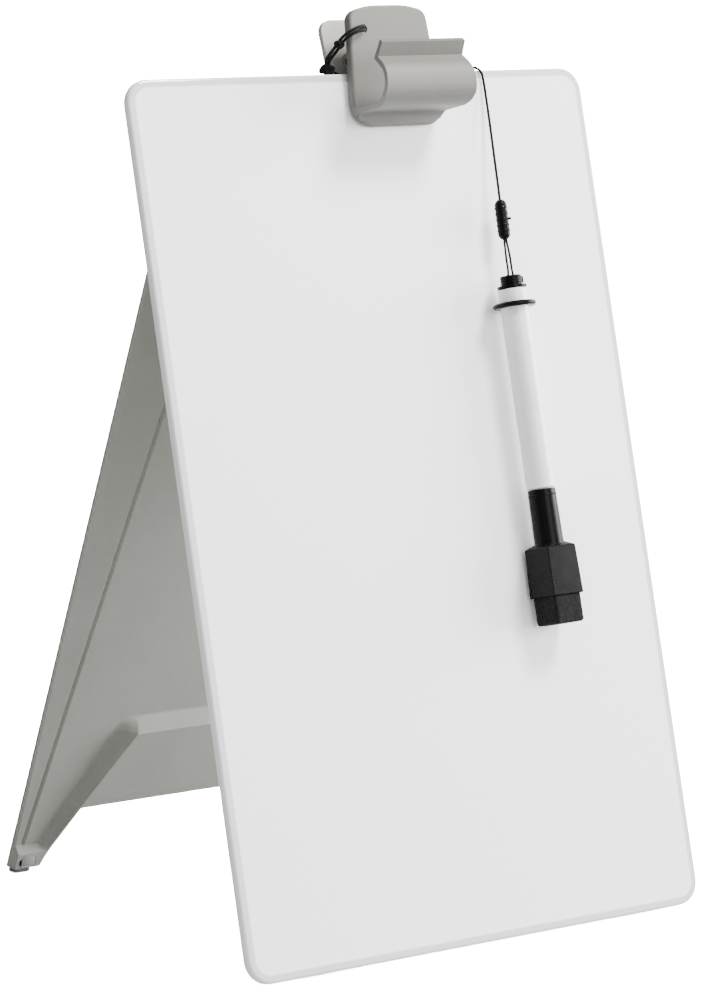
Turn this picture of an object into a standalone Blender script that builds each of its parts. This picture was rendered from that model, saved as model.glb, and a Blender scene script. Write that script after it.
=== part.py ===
"""Desktop glass whiteboard: a leaning glass panel on a folding leg, with a spring clip and a marker on a cord.

Metres, +Z up. The origin is on the floor, at the middle of the whole object. X runs to the right along the
board, Y runs backwards and the writing face looks towards -Y. The board frame, the clip frame, the leg
frame and the marker frame are empties, and each piece is modelled in the frame that carries it.
"""
import math

import bmesh
import bpy
from mathutils import Matrix, Vector

MM = 0.001
DEGREE = math.pi / 180

# Shared fits and counts
SEAT_GAP = 0.3 * MM
OVERRUN = 4 * MM
BOND_SINK = 0.6 * MM
ROUND_STEPS = 32
SMALL_ROUND_STEPS = 20
CORNER_STEPS = 8
SMOOTH_ANGLE = 38 * DEGREE

# Glass panel and what lies on its back
BOARD_LEAN = 14.6 * DEGREE
GLASS_WIDTH = 200 * MM
GLASS_HEIGHT = 320 * MM
GLASS_THICKNESS = 4 * MM
GLASS_CORNER = 9 * MM
GLASS_EDGE_ROUND = 1.1 * MM
BACKING_INSET = 3.6 * MM
BACKING_THICKNESS = 0.5 * MM
TAPE_THICKNESS = 0.8 * MM
TAPE_INSET = 3 * MM
BOARD_FOOT_MARGIN = 30 * MM
BOARD_FOOT_WIDTH = 16 * MM
BOARD_FOOT_HEIGHT = 13 * MM
BOARD_FOOT_THICKNESS = 3 * MM
BOARD_FOOT_ROUND = 0.6 * MM
GLASS_FLOOR_GAP = 0.5 * MM

# Hinge between the board and the leg
BRACKET_MARGIN = 22 * MM
BRACKET_RISE = 13 * MM
BRACKET_DROP = 15 * MM
BRACKET_THICKNESS = 2.8 * MM
BRACKET_CORNER = 5 * MM
BRACKET_ROUND = 0.6 * MM
HINGE_BELOW_TOP = 39.4 * MM
KNUCKLE_RADIUS = 4.5 * MM
KNUCKLE_CLEARANCE = 1 * MM
CENTRE_LUG_WIDTH = 15 * MM
END_LUG_WIDTH = 10 * MM
LUG_FOOT_HALF = 6.5 * MM
END_LUG_MARGIN = 9.9 * MM
HINGE_PIN_RADIUS = 1.5 * MM
PIN_CAP_WALL = 1.4 * MM
PIN_CAP_LENGTH = 4.2 * MM
PIN_IN_CAP = 2.6 * MM
PIN_CAP_ROUND = 0.5 * MM
STOP_TAB_WIDTH = 16 * MM
STOP_TAB_RISE = 10 * MM
STOP_TAB_THICKNESS = 2.6 * MM

# Leg
LEG_LEAN = 20.4 * DEGREE
LEG_SETBACK = 2.7 * MM
LEG_WALL = 2.4 * MM
LEG_EDGE_DEPTH = 3.4 * MM
LEG_RIM_DEPTH = 7 * MM
LEG_RIM_INSET = 3.6 * MM
LEG_TOP_BELOW_PIN = 7 * MM
LEG_MARGIN_AT_PIN = 22.4 * MM
LEG_MARGIN_AT_FLOOR = 7.0 * MM
BAND_WIDTH_AT_PIN = 27.5 * MM
BAND_WIDTH_AT_FLOOR = 1.8 * MM
BAND_SLOPE = 3.5 * DEGREE
CREASE_WIDTH = 2.2 * MM
CREASE_DEPTH = 1.0 * MM
RIDGE_RISE = 63.3 * MM
RIDGE_RUN = 3.4 * MM
RIDGE_FILLET = 2.4 * MM
RIDGE_MARGIN = 36.2 * MM
CUTOUT_RISE = 28.2 * MM
CUTOUT_STEP_MARGIN = 19.1 * MM
CUTOUT_MARGIN = 23.0 * MM
FOOT_STEP_MARGIN = 5.6 * MM
FOOT_MARGIN = 8.0 * MM
FOOT_TIP_RISE = 12 * MM
FOOT_TIP_RUN = 2 * MM
STEP_DRAFT_AT_RIDGE = 6.0 * MM
STEP_DRAFT_AT_CUTOUT = 3.4 * MM
STEP_DRAFT_AT_FLOOR = 2.0 * MM
STEP_FILLET = 2.4 * MM
STEP_AT_RIDGE = 5.6 * MM
STEP_AT_CUTOUT = 4.4 * MM
STEP_AT_FLOOR = 3.2 * MM
STEP_PROFILE_SHARES = ((0.0, 1.0), (0.08, 0.97), (0.3, 0.68), (0.55, 0.32), (0.75, 0.1), (0.88, 0.02), (1.0, 0.0))
INNER_COLUMN_SHARE = 0.9
LEG_EDGE_ROUND = 0.5 * MM
SOLE_THICKNESS = 1.5 * MM
SOLE_INSET = 0.4 * MM
SOLE_ROUND = 0.4 * MM
SOLE_CORNER = 1.6 * MM
WEB_ANGLE = 235 * DEGREE

# Clip: front plate with its pen holder
CLIP_OFFSET = 12 * MM
CLIP_GAP = 0.8 * MM
PLATE_THICKNESS = 4.6 * MM
PLATE_TAPER = 1.6 * MM
PLATE_WALL = 2 * MM
PLATE_RISE = 25.0 * MM
PLATE_SHOULDER = 22.0 * MM
PLATE_DROP = 20.5 * MM
PLATE_HALF_TOP = 17.0 * MM
PLATE_HALF_LOW = 20.7 * MM
PLATE_TOP_CORNER = 4.5 * MM
PLATE_LOW_CORNER = 7.5 * MM
PLATE_ROUND = 1.1 * MM
HOLDER_WALL = 2 * MM
HOLDER_RADIUS = 8 * MM
HOLDER_REACH = 12.8 * MM
HOLDER_FLOOR_DROP = 15.7 * MM
HOLDER_FLOOR_RISE = 0.9 * MM
HOLDER_NECK_REACH = 15.1 * MM
HOLDER_NECK_RISE = 16.95 * MM
HOLDER_LIP_REACH = 19.2 * MM
HOLDER_LIP_RISE = 22.3 * MM
HOLDER_BELLY_END = 46 * DEGREE
HOLDER_ROUND = 0.5 * MM
HOLDER_FILLET = 2.6 * MM
CORD_HOLE_RADIUS = 1.7 * MM
CORD_HOLE_SIDE = 11.7 * MM
CORD_HOLE_RISE = 15.4 * MM
JAW_PAD_HALF = 15 * MM
JAW_PAD_TOP_DROP = 4 * MM
JAW_PAD_LOW_DROP = 17.5 * MM
JAW_PAD_THICKNESS = 1.3 * MM
JAW_PAD_ROUND = 0.3 * MM

# Clip: rear lever, pivot and spring
PIVOT_DEPTH = 4 * MM
PIVOT_RISE = 5.3 * MM
EAR_RADIUS = 3.2 * MM
EAR_THICKNESS = 2.5 * MM
EAR_OUTER_HALF = 14.7 * MM
PIVOT_PIN_RADIUS = 1.1 * MM
PIVOT_PIN_SINK = 1 * MM
LEVER_WALL = 2.4 * MM
LEVER_HALF = 19.3 * MM
LEVER_RISE = 22.7 * MM
LEVER_DROP = 18.5 * MM
LEVER_TOP_DEPTH = 12.9 * MM
LEVER_WAIST_DEPTH = 11.0 * MM
LEVER_WAIST_RISE = 5 * MM
LEVER_THROAT_DEPTH = 10.0 * MM
LEVER_THROAT_DROP = 2 * MM
LEVER_JAW_DEPTH = 8.0 * MM
LEVER_JAW_DROP = 5.5 * MM
LEVER_CORNER = 5 * MM
LEVER_ROUND = 0.5 * MM
GRIP_RIB_COUNT = 4
GRIP_RIB_PITCH = 3 * MM
GRIP_RIB_RADIUS = 0.7 * MM
GRIP_RIB_HALF = 11 * MM
SPRING_WIRE = 0.9 * MM
SPRING_COIL_RADIUS = 2.25 * MM
SPRING_PITCH = 1.9 * MM
SPRING_TURNS = 5
SPRING_STEPS = 10
SPRING_FRONT_LEAN = 24 * DEGREE
SPRING_BACK_LEAN = 20 * DEGREE
SPRING_ARM_STEPS = 4

# Cord, knots and cord lock
CORD_DIAMETER = 1.0 * MM
PEN_LOOP_DIAMETER = 0.85 * MM
STOP_KNOT_RADIUS = 2.2 * MM
SMALL_KNOT_BORE = 1.55 * MM
SMALL_KNOT_RADIUS = 2.3 * MM
SMALL_KNOT_LENGTH = 3.0 * MM
BIG_KNOT_RADIUS = 3.1 * MM
KNOT_SQUASH_SHARE = 0.9
LOCK_RADIUS = 2.25 * MM
LOCK_LENGTH = 15.3 * MM
LOCK_RIB_COUNT = 5
LOCK_RIB_SWELL = 0.25 * MM
LOCK_NUB_RADIUS = 0.5 * MM
LOCK_NUB_LENGTH = 1.1 * MM

# Routes in the clip frame, in metres
UPPER_STRAND_ROUTE = (
    (-0.0117, -0.00335, 0.01605), (-0.0117, -0.0046, 0.01605), (-0.0120, -0.0063, 0.01605),
    (-0.0134, -0.0076, 0.01585), (-0.0156, -0.0079, 0.01535), (-0.0180, -0.0071, 0.0145),
    (-0.0199, -0.0052, 0.0134), (-0.0210, -0.0029, 0.0119), (-0.0217, -0.0008, 0.0103),
    (-0.0226, 0.0012, 0.0086), (-0.0233, 0.0032, 0.0070), (-0.02345, 0.0045, 0.00585),
)
LOWER_STRAND_ROUTE = (
    (-0.0117, -0.00335, 0.01475), (-0.0117, -0.0046, 0.01475), (-0.0120, -0.0062, 0.01475),
    (-0.0132, -0.0074, 0.01455), (-0.0153, -0.0077, 0.0141), (-0.0176, -0.0069, 0.0133),
    (-0.0193, -0.0049, 0.0122), (-0.0201, -0.0026, 0.0108), (-0.0206, -0.0005, 0.0093),
    (-0.0213, 0.0015, 0.0078), (-0.0219, 0.0034, 0.0066), (-0.0220, 0.0045, 0.0057),
)
MAIN_CORD_ROUTE = (
    (-0.0194, 0.0063, 0.0017), (-0.0178, 0.0063, 0.0010), (-0.0150, 0.0062, 0.0002),
    (-0.0100, 0.0061, -0.0004), (-0.0020, 0.0060, -0.0008), (0.0060, 0.0060, -0.0009),
    (0.0140, 0.0059, -0.0007), (0.0220, 0.0058, -0.0003), (0.0290, 0.0054, 0.0004),
    (0.0340, 0.0042, 0.0011), (0.0376, 0.0022, 0.00135), (0.0400, 0.0003, 0.0009),
    (0.0413, -0.0009, -0.0009), (0.0416, -0.0013, -0.0040), (0.0412, -0.0020, -0.0120),
    (0.0402, -0.0033, -0.0220), (0.0390, -0.0047, -0.0325), (0.0379, -0.0060, -0.0425),
    (0.03697, -0.00703, -0.0502),
)
PEN_LOOP_ROUTE = (
    (0.0358, -0.0077, -0.0662), (0.0356, -0.0078, -0.0690), (0.0353, -0.0080, -0.0730),
    (0.0351, -0.0083, -0.0772), (0.0346, -0.0084, -0.0796), (0.03402, -0.0084, -0.0814),
    (0.0345, -0.0084, -0.0826), (0.0357, -0.0084, -0.0831), (0.0369, -0.0084, -0.0826),
    (0.03738, -0.0084, -0.0814), (0.0371, -0.0084, -0.0796), (0.0369, -0.0083, -0.0772),
    (0.0371, -0.0080, -0.0730), (0.0370, -0.0078, -0.0690), (0.0368, -0.0077, -0.0662),
)
BIG_KNOT_PLACE = (-0.0226, 0.0062, 0.0029)
SMALL_KNOT_PLACE = (-0.02085, -0.0017, 0.0106)
SMALL_KNOT_AXIS = (-0.26, 0.77, -0.59)
LOCK_TOP_PLACE = (0.03693, -0.00708, -0.0505)
LOCK_LOW_PLACE = (0.03625, -0.0076, -0.0658)

# Marker, along its own axis from the top of the end plug down
MARKER_SIDE = 35.7 * MM
MARKER_DEPTH = 8.4 * MM
MARKER_TOP_DROP = 79.5 * MM
KNOB_RADIUS = 3.9 * MM
KNOB_HEIGHT = 3.7 * MM
KNOB_BORE_RADIUS = 2.8 * MM
KNOB_BORE_DEPTH = 4.4 * MM
KNOB_BAR_RADIUS = 0.7 * MM
KNOB_BAR_DROP = 1.9 * MM
KNOB_TAB_REACH = 1.2 * MM
KNOB_TAB_HALF = 0.8 * MM
FLANGE_THICKNESS = 0.9 * MM
PLUG_STEM_LENGTH = 8 * MM
BARREL_RADIUS = 5.5 * MM
BARREL_WALL = 1.2 * MM
BARREL_LENGTH = 74.8 * MM
BARREL_ROUND = 0.4 * MM
COLLAR_LENGTH = 5.1 * MM
RING_RADIUS = 8.1 * MM
RING_THICKNESS = 1.8 * MM
NECK_RADIUS = 4.2 * MM
NECK_LENGTH = 12 * MM
NECK_BORE_RADIUS = 3 * MM
TIP_CONE_LENGTH = 8.5 * MM
TIP_CONE_RADIUS = 2.3 * MM
TIP_STEM_LENGTH = 7 * MM
NIB_RADIUS = 1.4 * MM
NIB_LENGTH = 18 * MM
NIB_REACH = 3.6 * MM
CAP_TOP_RADIUS = 5.2 * MM
CAP_SLEEVE_LENGTH = 19.9 * MM
CAP_WALL = 0.7 * MM
CAP_NIB_ROOM = 27.5 * MM
ERASER_HOLDER_WIDTH = 14.3 * MM
ERASER_HOLDER_TOP_WIDTH = 13.5 * MM
ERASER_HOLDER_LENGTH = 19.7 * MM
ERASER_HOLDER_SHOULDER = 1.6 * MM
ERASER_HOLDER_ROUND = 0.35 * MM
ERASER_HOLDER_TURN = 3.8 * DEGREE
ERASER_WIDTH = 13.4 * MM
ERASER_STUB_WIDTH = 10.6 * MM
ERASER_STUB_LENGTH = 3 * MM
ERASER_LENGTH = 10.3 * MM
ERASER_CORNER = 0.7 * MM

# Worked-out places
BACKING_DEPTH = GLASS_THICKNESS + SEAT_GAP
TAPE_DEPTH = BACKING_DEPTH + BACKING_THICKNESS + SEAT_GAP
BRACKET_DEPTH = TAPE_DEPTH + TAPE_THICKNESS + SEAT_GAP
BRACKET_BACK = BRACKET_DEPTH + BRACKET_THICKNESS
HINGE_DEPTH = BRACKET_BACK + KNUCKLE_CLEARANCE + KNUCKLE_RADIUS
HINGE_ALONG = GLASS_HEIGHT - HINGE_BELOW_TOP
BOARD_LIFT = GLASS_THICKNESS * math.sin(BOARD_LEAN) + GLASS_FLOOR_GAP
FOLD_ANGLE = BOARD_LEAN + LEG_LEAN
BOARD_AXES = Matrix.Rotation(-BOARD_LEAN, 4, "X")
BRACKET_WIDTH = GLASS_WIDTH - 2 * BRACKET_MARGIN
LEG_HALF_AT_PIN = GLASS_WIDTH / 2 - LEG_MARGIN_AT_PIN
LEG_HALF_AT_FLOOR = GLASS_WIDTH / 2 - LEG_MARGIN_AT_FLOOR
HINGE_PLACE = BOARD_AXES @ Vector((0, HINGE_DEPTH, HINGE_ALONG)) + Vector((0, 0, BOARD_LIFT))
LEG_LENGTH = (HINGE_PLACE.z + LEG_SETBACK * math.sin(LEG_LEAN)) / math.cos(LEG_LEAN)
PLATE_FACE = CLIP_GAP + PLATE_THICKNESS
PIN_BORE_RADIUS = HINGE_PIN_RADIUS + SEAT_GAP
PIVOT_BORE_RADIUS = PIVOT_PIN_RADIUS + SEAT_GAP
BARREL_BORE_RADIUS = BARREL_RADIUS - BARREL_WALL
END_LUG_END = BRACKET_WIDTH / 2 - END_LUG_MARGIN
END_LUG_START = END_LUG_END - END_LUG_WIDTH
KNUCKLE_SPAN = END_LUG_START - CENTRE_LUG_WIDTH / 2 - 2 * SEAT_GAP
BARREL_TOP = -KNOB_HEIGHT - FLANGE_THICKNESS - SEAT_GAP
BARREL_LOW = BARREL_TOP - BARREL_LENGTH
RING_TOP = BARREL_TOP - COLLAR_LENGTH
NECK_LOW = BARREL_LOW - NECK_LENGTH
CONE_LOW = NECK_LOW - SEAT_GAP - TIP_CONE_LENGTH
NIB_LOW = CONE_LOW - NIB_REACH
CAP_TOP = BARREL_LOW - SEAT_GAP
SHOULDER_TOP = CAP_TOP - CAP_SLEEVE_LENGTH
HOLDER_LOW = SHOULDER_TOP - ERASER_HOLDER_LENGTH


def clear_scene():
    for item in list(bpy.data.objects):
        bpy.data.objects.remove(item, do_unlink=True)


def linear(channel):
    share = channel / 255
    return share / 12.92 if share <= 0.04045 else ((share + 0.055) / 1.055) ** 2.4


def finish(name, colour, roughness, metallic=0.0, transmission=0.0):
    made = bpy.data.materials.new(name)
    made.use_nodes = True
    shader = made.node_tree.nodes["Principled BSDF"]
    channels = [linear((colour >> shift) & 255) for shift in (16, 8, 0)]
    shader.inputs["Base Color"].default_value = (*channels, 1)
    shader.inputs["Roughness"].default_value = roughness
    shader.inputs["Metallic"].default_value = metallic
    shader.inputs["Transmission Weight"].default_value = transmission
    return made


def frame(name, matrix, parent=None):
    made = bpy.data.objects.new(name, None)
    bpy.context.collection.objects.link(made)
    made.parent = parent
    made.matrix_local = matrix
    return made


def piece(name, bm, look, parent, matrix=None):
    bmesh.ops.recalc_face_normals(bm, faces=bm.faces)
    mesh = bpy.data.meshes.new(name)
    bm.to_mesh(mesh)
    bm.free()
    mesh.materials.append(look)
    mesh.shade_smooth()
    mesh.set_sharp_from_angle(angle=SMOOTH_ANGLE)
    made = bpy.data.objects.new(name, mesh)
    bpy.context.collection.objects.link(made)
    made.parent = parent
    if matrix is not None:
        made.matrix_local = matrix
    return made


def helper(made):
    made.hide_render = True
    made.display_type = "WIRE"
    return made


def soften(made, width, segments=2, angle=30 * DEGREE):
    step = made.modifiers.new("edge_round", "BEVEL")
    step.width = width
    step.segments = segments
    step.limit_method = "ANGLE"
    step.angle_limit = angle
    step.use_clamp_overlap = True
    return made


def combine(made, other, operation):
    step = made.modifiers.new(operation.lower(), "BOOLEAN")
    step.operation = operation
    step.solver = "EXACT"
    step.object = helper(other)
    return made


def arc(centre, radius, start, end, steps):
    points = []
    for index in range(steps + 1):
        angle = start + (end - start) * index / steps
        points.append((centre[0] + radius * math.cos(angle), centre[1] + radius * math.sin(angle)))
    return points


def rounded(corners, steps=CORNER_STEPS):
    """Outline through corners given as (a, b, radius), each turned by an arc that touches both sides."""
    points = []
    count = len(corners)
    for index, (a, b, radius) in enumerate(corners):
        here = Vector((a, b))
        back = (Vector(corners[index - 1][:2]) - here).normalized()
        ahead = (Vector(corners[(index + 1) % count][:2]) - here).normalized()
        if radius == 0:
            points.append((a, b))
            continue
        half = back.angle(ahead) / 2
        centre = here + (back + ahead).normalized() * (radius / math.sin(half))
        first = here + back * (radius / math.tan(half)) - centre
        last = here + ahead * (radius / math.tan(half)) - centre
        start = math.atan2(first.y, first.x)
        turn = first.angle_signed(last)
        points.extend(arc(centre, radius, start, start - turn, steps))
    return points


def thick_path(points, thickness):
    """Outline of a wall that follows a line of points, with mitred joints and square ends."""
    left, right = [], []
    count = len(points)
    for index, point in enumerate(points):
        here = Vector(point)
        before = Vector(points[max(index - 1, 0)])
        after = Vector(points[min(index + 1, count - 1)])
        entry = (here - before).normalized() if index > 0 else (after - here).normalized()
        leave = (after - here).normalized() if index < count - 1 else entry
        along = (entry + leave).normalized()
        side = Vector((-along.y, along.x)) * (thickness / 2 / max(along.dot(entry), 0.5))
        left.append(tuple(here + side))
        right.append(tuple(here - side))
    return left + right[::-1]


def spot(along, a, b, height):
    return {"X": (height, a, b), "Y": (a, height, b), "Z": (a, b, height)}[along]


def prism_mesh(outline, low, high, along):
    bm = bmesh.new()
    face = bm.faces.new([bm.verts.new(spot(along, a, b, low)) for a, b in outline])
    grown = bmesh.ops.extrude_face_region(bm, geom=[face])
    raised = [item for item in grown["geom"] if isinstance(item, bmesh.types.BMVert)]
    bmesh.ops.translate(bm, verts=raised, vec=Vector(spot(along, 0, 0, high - low)))
    return bm


def prism(name, outline, low, high, along, look, parent, matrix=None):
    return piece(name, prism_mesh(outline, low, high, along), look, parent, matrix)


def rectangle(a_low, a_high, b_low, b_high, radius=0):
    corners = ((a_low, b_low, radius), (a_high, b_low, radius), (a_high, b_high, radius), (a_low, b_high, radius))
    return rounded(corners)


def turned(name, profile, look, parent, matrix=None, steps=ROUND_STEPS):
    """Solid of revolution about local Z, from a closed outline of (radius, height) points."""
    bm = bmesh.new()
    line = [bm.verts.new((radius, 0, height)) for radius, height in profile]
    edges = [bm.edges.new((line[index - 1], line[index])) for index in range(len(line))]
    axis = [edge for edge in edges if all(vert.co.x == 0 for vert in edge.verts)]
    swept = [edge for edge in edges if edge not in axis]
    bmesh.ops.spin(
        bm, geom=line + swept, cent=(0, 0, 0), axis=(0, 0, 1), angle=2 * math.pi, steps=steps, use_merge=True
    )
    bmesh.ops.delete(bm, geom=[edge for edge in bm.edges if not edge.link_faces], context="EDGES")
    bmesh.ops.remove_doubles(bm, verts=bm.verts, dist=MM / 1000)
    return piece(name, bm, look, parent, matrix)


def rod(name, radius, low, high, look, parent, matrix=None, steps=ROUND_STEPS, chamfer=0.0):
    profile = [(0, low), (radius - chamfer, low), (radius, low + chamfer), (radius, high - chamfer),
               (radius - chamfer, high), (0, high)]
    if chamfer == 0:
        profile = [(0, low), (radius, low), (radius, high), (0, high)]
    return turned(name, profile, look, parent, matrix, steps)


def along_x(place=(0, 0, 0)):
    return Matrix.Translation(place) @ Matrix.Rotation(math.pi / 2, 4, "Y")


def smooth_route(points, step):
    """Points at even distances on a smooth curve through the points of a route."""
    knots = [Vector(point) for point in points]
    knots = [2 * knots[0] - knots[1]] + knots + [2 * knots[-1] - knots[-2]]
    fine = []
    pieces = 24
    for index in range(1, len(knots) - 2):
        p0, p1, p2, p3 = knots[index - 1:index + 3]
        for part in range(pieces):
            t = part / pieces
            fine.append(0.5 * (
                2 * p1 + (p2 - p0) * t + (2 * p0 - 5 * p1 + 4 * p2 - p3) * t ** 2
                + (3 * p1 - p0 - 3 * p2 + p3) * t ** 3
            ))
    fine.append(knots[-2])
    length = sum((b - a).length for a, b in zip(fine, fine[1:]))
    count = max(2, round(length / step))
    even, walked, target = [fine[0]], 0.0, length / count
    for a, b in zip(fine, fine[1:]):
        span = (b - a).length
        while walked + span >= target * len(even) and len(even) < count:
            even.append(a.lerp(b, (target * len(even) - walked) / span))
        walked += span
    even.append(fine[-1])
    return even, length


def tube(name, points, diameter, look, parent, resolution=2):
    curve = bpy.data.curves.new(name, "CURVE")
    curve.dimensions = "3D"
    curve.bevel_depth = diameter / 2
    curve.bevel_resolution = resolution
    curve.use_fill_caps = True
    line = curve.splines.new("POLY")
    line.points.add(len(points) - 1)
    for slot, point in zip(line.points, points):
        slot.co = (*point, 1)
    line.use_smooth = True
    curve.materials.append(look)
    made = bpy.data.objects.new(name, curve)
    bpy.context.collection.objects.link(made)
    made.parent = parent
    return made


def cord(name, route, diameter, look, parent):
    points, length = smooth_route(route, diameter * 2.5)
    print(name, "length", round(length / MM, 1), "mm")
    return tube(name, points, diameter, look, parent)


# Looks
GLASS = finish("toughened_clear_glass", 0xF4F8F6, 0.03, transmission=1.0)
WHITE_COAT = finish("white_coating", 0xF3F4F5, 0.35)
GREY_PLASTIC = finish("warm_grey_moulded_plastic", 0xA9A8A3, 0.42)
LEG_PLASTIC = finish("grey_moulded_plastic", 0x9B9C95, 0.45)
CLEAR_RUBBER = finish("clear_rubber", 0xD9DAD8, 0.5)
GREY_RUBBER = finish("dark_grey_rubber", 0x5B5E5D, 0.8)
FOAM_TAPE = finish("white_foam_tape", 0xE6E6E2, 0.9)
STEEL = finish("bright_steel", 0xC9CACC, 0.3, metallic=1.0)
BLACK_CORD = finish("black_braided_cord", 0x1B1B1C, 0.8)
BLACK_PLASTIC = finish("black_moulded_plastic", 0x222223, 0.38)
WHITE_PLASTIC = finish("white_moulded_plastic", 0xF0F0F0, 0.35)
FELT = finish("black_felt", 0x1D1D1E, 0.95)
FIBRE = finish("ink_fibre", 0x2A2A2E, 0.9)


def build_board(board):
    half = GLASS_WIDTH / 2
    panel = rectangle(-half, half, 0, GLASS_HEIGHT, GLASS_CORNER)
    glass = prism("glass_panel", panel, 0, GLASS_THICKNESS, "Y", GLASS, board)
    soften(glass, GLASS_EDGE_ROUND, segments=3)

    inner = half - BACKING_INSET
    sheet = rectangle(-inner, inner, BACKING_INSET, GLASS_HEIGHT - BACKING_INSET, GLASS_CORNER - BACKING_INSET)
    prism("white_backing", sheet, BACKING_DEPTH, BACKING_DEPTH + BACKING_THICKNESS, "Y", WHITE_COAT, board)

    for name, side in (("board_foot_left", -1), ("board_foot_right", 1)):
        build_board_foot(name, side * (half - BOARD_FOOT_MARGIN), board)


def build_board_foot(name, centre, board):
    """Rubber foot on the back of the panel, cut level with the floor."""
    front, back = TAPE_DEPTH, TAPE_DEPTH + BOARD_FOOT_THICKNESS
    outline = [(depth, (depth * math.sin(BOARD_LEAN) - BOARD_LIFT) / math.cos(BOARD_LEAN)) for depth in (front, back)]
    outline += [(back, BOARD_FOOT_HEIGHT - BOARD_FOOT_THICKNESS), (front, BOARD_FOOT_HEIGHT)]
    half = BOARD_FOOT_WIDTH / 2
    foot = prism(name, outline, centre - half, centre + half, "X", CLEAR_RUBBER, board)
    soften(foot, BOARD_FOOT_ROUND, segments=2, angle=50 * DEGREE)


def build_hinge(board, hinge):
    """Bracket taped to the board, its three lugs, the pin and the two caps on its ends."""
    half = BRACKET_WIDTH / 2
    low, high = HINGE_ALONG - BRACKET_DROP, HINGE_ALONG + BRACKET_RISE
    strip = rectangle(
        -half + TAPE_INSET, half - TAPE_INSET, low + TAPE_INSET, high - TAPE_INSET, BRACKET_CORNER - TAPE_INSET
    )
    prism("mounting_tape", strip, TAPE_DEPTH, TAPE_DEPTH + TAPE_THICKNESS, "Y", FOAM_TAPE, board)

    plate = rectangle(-half, half, low, high, BRACKET_CORNER)
    bracket = prism("hinge_bracket", plate, BRACKET_DEPTH, BRACKET_BACK, "Y", GREY_PLASTIC, board)
    soften(bracket, BRACKET_ROUND)
    root_depth = BRACKET_BACK - BOND_SINK
    lug = arc((HINGE_DEPTH, HINGE_ALONG), KNUCKLE_RADIUS, -math.pi / 2, math.pi / 2, ROUND_STEPS // 2)
    lug += [(root_depth, HINGE_ALONG + LUG_FOOT_HALF), (root_depth, HINGE_ALONG - LUG_FOOT_HALF)]
    centre_half = CENTRE_LUG_WIDTH / 2
    spans = ((-END_LUG_END, -END_LUG_START), (-centre_half, centre_half), (END_LUG_START, END_LUG_END))
    for index, (start, end) in enumerate(spans):
        combine(bracket, prism(f"bracket_lug_{index}", lug, start, end, "X", GREY_PLASTIC, board), "UNION")
    bore = rod("bracket_bore", PIN_BORE_RADIUS, -half, half, STEEL, hinge, along_x(), SMALL_ROUND_STEPS)
    combine(bracket, bore, "DIFFERENCE")

    pin_half = END_LUG_END + SEAT_GAP + PIN_IN_CAP
    rod("hinge_pin", HINGE_PIN_RADIUS, -pin_half, pin_half, STEEL, hinge, along_x(), SMALL_ROUND_STEPS)
    outer = PIN_BORE_RADIUS + PIN_CAP_WALL
    floor = PIN_IN_CAP + SEAT_GAP
    cap = [(PIN_BORE_RADIUS, 0), (outer, 0), (outer, PIN_CAP_LENGTH - PIN_CAP_ROUND),
           (outer - PIN_CAP_ROUND, PIN_CAP_LENGTH), (0, PIN_CAP_LENGTH), (0, floor), (PIN_BORE_RADIUS, floor)]
    for name, side in (("pin_cap_left", -1), ("pin_cap_right", 1)):
        place = Matrix.Translation((side * (END_LUG_END + SEAT_GAP), 0, 0)) @ Matrix.Rotation(side * math.pi / 2, 4, "Y")
        turned(name, cap, BLACK_PLASTIC, hinge, place, SMALL_ROUND_STEPS)


def between(rise, low, high, low_rise, high_rise):
    return low + (high - low) * (rise - low_rise) / (high_rise - low_rise)


def leg_outer(rise):
    return between(rise, LEG_HALF_AT_FLOOR, LEG_HALF_AT_PIN, 0, LEG_LENGTH)


def step_base(rise):
    """Half width of the raised lower panel at its foot line, at a height along the leg."""
    if rise < CUTOUT_RISE:
        return leg_outer(rise) - between(max(rise, 0), FOOT_STEP_MARGIN, CUTOUT_STEP_MARGIN, 0, CUTOUT_RISE)
    return leg_outer(rise) - between(rise, CUTOUT_STEP_MARGIN, RIDGE_MARGIN, CUTOUT_RISE, RIDGE_RISE)


def step_draft(rise):
    """Width of the raised panel's sloping wall above its foot line, at a height along the leg."""
    if rise < CUTOUT_RISE:
        return between(max(rise, 0), STEP_DRAFT_AT_FLOOR, STEP_DRAFT_AT_CUTOUT, 0, CUTOUT_RISE)
    return between(min(rise, RIDGE_RISE), STEP_DRAFT_AT_CUTOUT, STEP_DRAFT_AT_RIDGE, CUTOUT_RISE, RIDGE_RISE)


def inner_column(rise, base):
    """Distance from the middle to the column of points inside the sloping wall."""
    return (base - step_draft(rise)) * INNER_COLUMN_SHARE


def leg_row(rise, inner, base, step, floor=0.0, crease_depth=CREASE_DEPTH):
    """Half of one cross row of the leg's front: distances from the middle and heights towards the board."""
    outer = leg_outer(rise)
    groove = CREASE_WIDTH / 2
    crease = outer - between(rise, BAND_WIDTH_AT_FLOOR, BAND_WIDTH_AT_PIN, 0, LEG_LENGTH)
    fall = (outer - crease - groove) * math.tan(BAND_SLOPE)
    start, width = base - step_draft(rise), step_draft(rise) + STEP_FILLET
    wall = [(start + share * width, floor + (step - floor) * level) for share, level in STEP_PROFILE_SHARES]
    band = [(crease - groove, floor), (crease, floor - crease_depth), (crease + groove, floor), (outer, floor - fall)]
    return [(0, step), (inner, step)] + wall + band


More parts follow.
